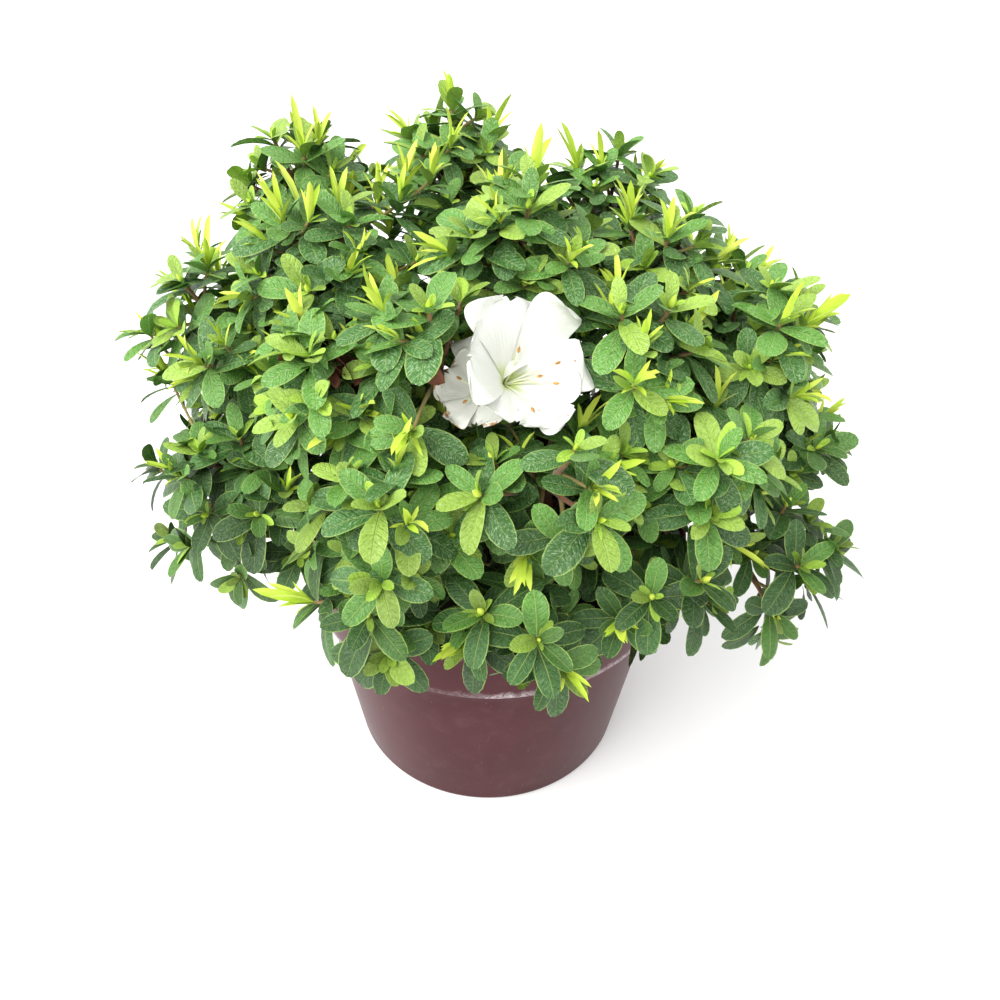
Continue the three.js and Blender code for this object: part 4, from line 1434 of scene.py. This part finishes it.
class AZALEA_OT_leaves(bpy.types.Operator):
    """Set the grown leaves round every twig end, in three greens"""

    bl_idname = "azalea.leaves"
    bl_label = "Leaves"

    def execute(self, context):
        settings = context.scene.azalea_leaf
        rows = kept_leaves(rosette_leaves(settings.length / MM, settings.width))
        dice = np.random.default_rng(SEED + 2)
        # painted shade: the skirt sprays lean to deeper greens, so the low leaves are darker
        low = np.array([spray.name.startswith("skirt") for spray in SPRAY_LIST])
        lean = (dice.uniform(-0.18, 0.18, len(SPRAY_LIST)) - 0.3 * low)[rows["spray"]]
        youth_and_shade = 1 - rows["age"] + lean + dice.normal(0, 0.22, len(rows["age"]))
        masses = ["foliage_" + spray.name for spray in SPRAY_LIST]
        third = len(masses) // 3
        tone = np.digitize(youth_and_shade, (YOUNGEST_DEEP, YOUNGEST_MIDDLE))
        tones = [
            ("leaves_deep", settings.deep, 0.52, 0.5, masses[:third]),
            ("leaves_middle", settings.middle, 0.5, 0.6, masses[third:-third]),
            ("leaves_fresh", settings.fresh, 0.4, 0.7, masses[-third:]),
        ]
        for i, (name, blade, down, rimmed, nodes) in enumerate(tones):
            green = leaf_finish(name, blade, settings, 0.28, down, rimmed)
            dressed(leaf_sheet(name, take(rows, tone == i), green), "foliage", *nodes)
        return {"FINISHED"}


LANCE_SHARE, BUD_SHARE, MORE_LANCES = 0.09, 0.55, 0.34


def new_growth(length):
    """The new growth in the middle of each rosette, of three kinds: a tuft of slender upright lances, a few
    small leaves round a bud, or small leaves that have opened. High and outer twigs bear more lances."""
    dice = np.random.default_rng(SEED + 3)
    slender, opened, budded = [], [], []
    for end, way, size, number in PLANT.rosettes:
        outer = (np.linalg.norm((end - HEART_HEIGHT * UP) * [1, 1, 1.3]) - 90) / 90
        drawn = dice.uniform() - MORE_LANCES * np.clip(outer, 0, 1) * np.clip((end[2] - 200) / 60, 0, 1)
        name = "lance" if drawn < LANCE_SHARE else "round_bud" if drawn < BUD_SHARE else "opened"
        kin = slender if name == "lance" else opened
        kin.append(kind_whorl(name, (end + way * 1.5, way, number), dice, size * length))
        if name == "round_bud":
            budded.append((end, way))
    return joined_rows(slender), joined_rows(opened), budded


class AZALEA_OT_shoots(bpy.types.Operator):
    """Add the lime shoots, small new leaves and buds in the middle of the rosettes"""

    bl_idname = "azalea.shoots"
    bl_label = "Shoots and buds"

    def execute(self, context):
        settings = context.scene.azalea_leaf
        slender, opened, budded = new_growth(settings.length / MM)
        lime = plain_leaf("lime_shoot", settings.lime, settings.lime_pale)
        shoots = leaf_sheet("lime_shoots", kept_leaves(slender), lime, SMALL, widest=0.48, blunt=0.62)
        dressed(shoots, "foliage")
        young = leaf_finish("new_leaf", settings.opened, settings, 0.36, 0.12, 0.55)
        dressed(leaf_sheet("new_leaves", kept_leaves(opened), young), "foliage")
        dressed(self.buds(settings, budded), "foliage")
        dressed(self.dry_leaves(settings), "foliage")
        return {"FINISHED"}

    def buds(self, settings, budded):
        """Pointed egg-shaped buds: radius sin(pi s^0.7) along the bud, creased by their scales."""
        dice = np.random.default_rng(SEED + 4)
        ends, ways = np.array(budded).transpose(1, 0, 2)
        count, sides = len(budded), 8
        length = dice.uniform(4.0, 7.0, (count, 1))
        s = np.linspace(0.02, 0.98, 8)
        lines = ends[:, None] + ways[:, None] * (s * length)[..., None]
        radii = 0.23 * length * np.sin(math.pi * s**0.7)
        scales = 0.1 * np.sin(2.5 * round_turn(sides) + 5 * s[:, None]) * np.ones((count, 1, 1))
        points = tube_grid(lines, radii, sides, scales)
        green = plain_leaf("bud_scale", settings.lime, settings.lime_pale, roughness=0.42)
        return tube_object("buds", points, green, shade=dice.uniform(0, 1, (count, 1, 1)))

    def dry_leaves(self, settings):
        """Withered leaves that still hang inside the crown: three whorls near each of a few places, each on
        the twig nearest to a point close by."""
        dice = np.random.default_rng(SEED + 6)
        places = np.array([row[0] + 0.3 * (row[2] - row[0]) for row in PLANT.twigs])
        tables = []
        for target in DRY_PLACES:
            for _ in range(3):
                near = target + dice.normal(0, 3.0, 3)
                number = int(np.argmin(np.linalg.norm(places - near, axis=1)))
                start, _, end, _, _ = PLANT.twigs[number]
                place = (start + (end - start) * dice.uniform(0.1, 0.5), unit(end - start), 0)
                polar = np.radians(dice.uniform(50, 120, DRY_WHORL))
                long, wide = dice.uniform(15, 23, DRY_WHORL), dice.uniform(0.3, 0.5, DRY_WHORL)
                looks = ((0.4, 1.6), (0.4, 1.1), (0.0, 0.4))
                tables.append(whorl(place, DRY_WHORL, dice, polar, long, wide, looks, np.zeros(DRY_WHORL)))
        brown = plain_finish("dry_leaf", settings.dry, settings.dry_pale, 0.006, 0.75, 0.0006)
        return leaf_sheet("dry_leaves", kept_leaves(joined_rows(tables)), brown)


# ---------------------------------------------------------------- flowers


def petal_grid(head, k, ruffle, dice):
    """One petal of a funnel, cut flat and then laid on the funnel. At share s along it and t across, the flat
    cut has its point R s along and W R s^0.75 (1 - s^5)^0.5 t to the side. The funnel keeps its distance and
    angle from the axis and lifts it to the funnel's height there. One edge laps over the next petal, and
    waves grow towards the edges. Returns points, UV and withering."""
    rows, columns = 26, 27
    s = np.linspace(0, 1, rows)[:, None]
    t = np.linspace(-1, 1, columns)[None, :]
    place, right, up, out = flower_frame(head)
    reach = head["radius"] * head["reach"][k]
    ragged = head["wilt"] * 0.2 * np.interp(t, np.linspace(-1, 1, 13), dice.uniform(-1.3, 0.3, 13))
    phase = dice.uniform(0, 2 * math.pi, 4)
    scallop = 0.018 * np.sin(9 * t + phase[0]) + 0.012 * np.sin(17 * t + phase[1])
    notch = 0.05 * np.exp(-((t / 0.2) ** 2))
    peak = head["peak"][k] * np.exp(-(((t - 0.55) / 0.22) ** 2))
    ease = np.clip((s - 0.4) / 0.6, 0, 1) ** 1.3
    forward = reach * (0.03 + 0.97 * s) * (1 + ease * (ragged + scallop + peak - notch))
    sideways = (reach * 1.02 * s**0.75 * np.sqrt(1 - s**5 * 0.97) + 0.03 * reach) * t
    spread = np.hypot(forward, sideways)
    angle = math.radians(head["angles"][k]) + np.arctan2(sideways, forward)
    x = spread / head["radius"]
    edge = s**1.5 * np.abs(t) ** 3
    wave = ruffle * (
        edge * np.sin(10 * s + 2.5 * t + phase[2])
        + 0.55 * s**4 * np.sin(6 * t + phase[3])
        + 0.3 * s**3 * np.sin(13 * t + 5 * s + phase[0])
    )
    crease = 0.35 * s * np.exp(-((t / 0.12) ** 2)) + 0.1 * s * np.sin(13 * t + phase[1])
    tube = 5.0 * np.exp(-14 * x)
    lap = (0.8 + 0.6 * t) * np.minimum(1.6 * x, 1.2)
    lifted = 24.0 * head["peak"][k] * ease * np.clip(t - 0.1, 0, 1) ** 1.5
    rise = funnel_height(head, spread) + wave + lap + lifted - crease - tube
    way = right * np.cos(angle)[..., None] + up * np.sin(angle)[..., None]
    points = place + way * spread[..., None] + out * rise[..., None]
    uv = np.stack([s + 0 * t, 0.5 + 0.5 * t + 0 * s], -1)
    wilt = head["wilt"] * np.clip(0.35 * s + 0.75 * np.maximum(s**8, np.abs(t) ** 6 * s), 0, 1)
    return points, uv, wilt


class AZALEA_OT_flowers(bpy.types.Operator):
    """Open the two white flowers, with their stamens and sepals"""

    bl_idname = "azalea.flowers"
    bl_label = "Flowers"

    def execute(self, context):
        settings = context.scene.azalea_bloom
        self.petals(settings)
        self.stamens(settings)
        self.sepals(settings)
        return {"FINISHED"}

    def petals(self, settings):
        """Five petals a flower, joined."""
        points, uv, wilt = [], [], []
        for number, head in enumerate(FLOWER_HEADS):
            dice = np.random.default_rng(SEED + 20 + number)
            for k in range(5):
                grid = petal_grid(head, k, settings.ruffle / MM, dice)
                for rows, part in zip((points, uv, wilt), grid):
                    rows.append(part)
        rows, columns = points[0].shape[:2]
        faces = [repeated(grid_faces(rows, columns), len(points), rows * columns)]
        maps, values = {"petal": np.stack(uv)}, {"wilt": np.stack(wilt)}
        material = petal_finish(settings)
        piece = mesh_object("white_petals", np.stack(points), faces, material, maps, values)
        dressed(piece, "petals", "white_flowers")

    def stamens(self, settings):
        """Threads that arch from each throat to an egg-shaped head, along quadratic curves."""
        starts, bends, ends = [], [], []
        for head in FLOWER_HEADS:
            place, right, up, out = flower_frame(head)
            for x, y, z in head["stamens"]:
                starts.append(place - 3.0 * out)
                bends.append(place + 0.4 * (x * right + y * up) + 0.6 * z * out)
                ends.append(place + x * right + y * up + z * out)
        each = np.ones((len(starts), 1))
        t = np.linspace(0, 1, 12)
        lines = bezier([starts, bends, ends], t)
        threads = tube_grid(lines, settings.thread / MM * (1.25 - 0.5 * t) * each, 7)
        material = plain_finish("stamen", settings.stamen, settings.petal, 0.004, 0.5)
        dressed(tube_object("stamens", threads, material), "petals")
        way = unit(lines[:, -1] - lines[:, -2])
        s = np.linspace(0.03, 0.97, 7)
        lines = np.array(ends)[:, None] + way[:, None] * ((s - 0.3) * 3.2)[:, None]
        heads = tube_grid(lines, 0.7 * np.sin(math.pi * s) * each, 8)
        material = plain_finish("anther", settings.anther, settings.blemish, 0.002, 0.8)
        dressed(tube_object("anthers", heads, material), "petals")

    def sepals(self, settings):
        """Five short green leaves behind each flower, and the stalk that holds it."""
        dice = np.random.default_rng(SEED + 30)
        tables, starts, bends, ends = [], [], [], []
        for head in FLOWER_HEADS:
            middle, _, _, out = flower_frame(head)
            place = middle - 6.0 * out
            polar = np.radians(np.full(5, 48.0))
            long, wide = dice.uniform(6, 9, 5), np.full(5, 0.42)
            looks = ((0.3, 0.9), (0.2, 0.5), (0.0, 0.1))
            tables.append(whorl((place, out, 0), 5, dice, polar, long, wide, looks, np.zeros(5)))
            starts.append(BOUGH_LINES[FLOWERS.name][-1])
            bends.append(0.5 * (starts[-1] + place) + 6.0 * UP)
            ends.append(place + 1.5 * out)
        green = plain_leaf("sepal", settings.sepal, settings.throat)
        dressed(leaf_sheet("sepals", joined_rows(tables), green, SMALL, widest=0.45), "petals")
        t = np.linspace(0, 1, 12)
        radii = (1.0 + 1.1 * t**6) * np.ones((len(starts), 1))
        stalks = tube_grid(bezier([starts, bends, ends], t), radii, 9)
        dressed(tube_object("flower_stalks", stalks, green, shade=0.0), "petals")


# ---------------------------------------------------------------- stage


class AZALEA_OT_stage(bpy.types.Operator):
    """Lay the pale floor, light the studio and set up the camera"""

    bl_idname = "azalea.stage"
    bl_label = "Stage"

    def execute(self, context):
        settings = context.scene.azalea_stage
        scene = context.scene
        corners = settings.floor_reach / MM * np.array([[-1, -1, 0], [1, -1, 0], [1, 1, 0], [-1, 1, 0]])
        floor = mesh_object("floor", corners, [np.arange(4)[None]], studio_white(settings))
        world = bpy.data.worlds.new("studio")
        world.use_nodes = True
        background = world.node_tree.nodes["Background"]
        background.inputs["Color"].default_value = (1.0, 1.0, 1.0, 1.0)
        background.inputs["Strength"].default_value = settings.daylight
        scene.world = world
        scene.view_settings.view_transform = "Standard"
        self.key_light(scene, settings)
        self.camera(scene, settings)
        return {"FINISHED"}

    def key_light(self, scene, settings):
        """Soft light that comes evenly from above, to the left of the front."""
        data = bpy.data.lights.new("key_light", "SUN")
        data.energy, data.angle = settings.key, settings.softness
        lamp = bpy.data.objects.new("key_light", data)
        scene.collection.objects.link(lamp)
        back = unit(np.array([-0.8, -0.55, 1.0]))
        side = unit(np.cross(UP, back))
        axes = Matrix(np.stack([side, np.cross(back, side), back], -1).tolist())
        lamp.matrix_world = Matrix.Translation(back * 1.5) @ axes.to_4x4()

    def camera(self, scene, settings):
        """A camera that looks along +Y, tipped down by the pitch and leaned by the roll."""
        data = bpy.data.cameras.new("camera")
        data.sensor_width, data.lens = 36.0, settings.lens
        data.clip_start, data.clip_end = 0.01, 200.0
        camera = bpy.data.objects.new("camera", data)
        scene.collection.objects.link(camera)
        tip = Matrix.Rotation(math.pi / 2 - settings.pitch, 4, "X")
        lean = Matrix.Rotation(settings.roll, 4, "Z")
        camera.matrix_world = Matrix.Translation(settings.eye) @ tip @ lean
        scene.camera = camera


# ---------------------------------------------------------------- panel and registration


class AZALEA_PT_panel(bpy.types.Panel):
    """Buttons for each group of pieces"""

    bl_idname = "AZALEA_PT_panel"
    bl_label = "Azalea"
    bl_space_type = "VIEW_3D"
    bl_region_type = "UI"
    bl_category = "Azalea"

    def draw(self, context):
        for operator in OPERATORS:
            self.layout.operator(operator.bl_idname)


SETTINGS = {
    "azalea_pot": AzaleaPotSettings,
    "azalea_wood": AzaleaWoodSettings,
    "azalea_leaf": AzaleaLeafSettings,
    "azalea_bloom": AzaleaBloomSettings,
    "azalea_stage": AzaleaStageSettings,
}
OPERATORS = (
    AZALEA_OT_pot,
    AZALEA_OT_soil,
    AZALEA_OT_wood,
    AZALEA_OT_twigs,
    AZALEA_OT_leaves,
    AZALEA_OT_shoots,
    AZALEA_OT_flowers,
    AZALEA_OT_stage,
)


def register():
    for group in SETTINGS.values():
        bpy.utils.register_class(group)
    for name, group in SETTINGS.items():
        setattr(bpy.types.Scene, name, PointerProperty(type=group))
    for item in (*OPERATORS, AZALEA_PT_panel):
        bpy.utils.register_class(item)


def unregister():
    for item in (AZALEA_PT_panel, *reversed(OPERATORS)):
        bpy.utils.unregister_class(item)
    for name, group in reversed(SETTINGS.items()):
        delattr(bpy.types.Scene, name)
        bpy.utils.unregister_class(group)


def main():
    """Registers the add-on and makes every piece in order."""
    register()
    for operator in OPERATORS:
        group, name = operator.bl_idname.split(".")
        getattr(getattr(bpy.ops, group), name)()
    bpy.context.view_layer.update()


if __name__ == "__main__":
    main()
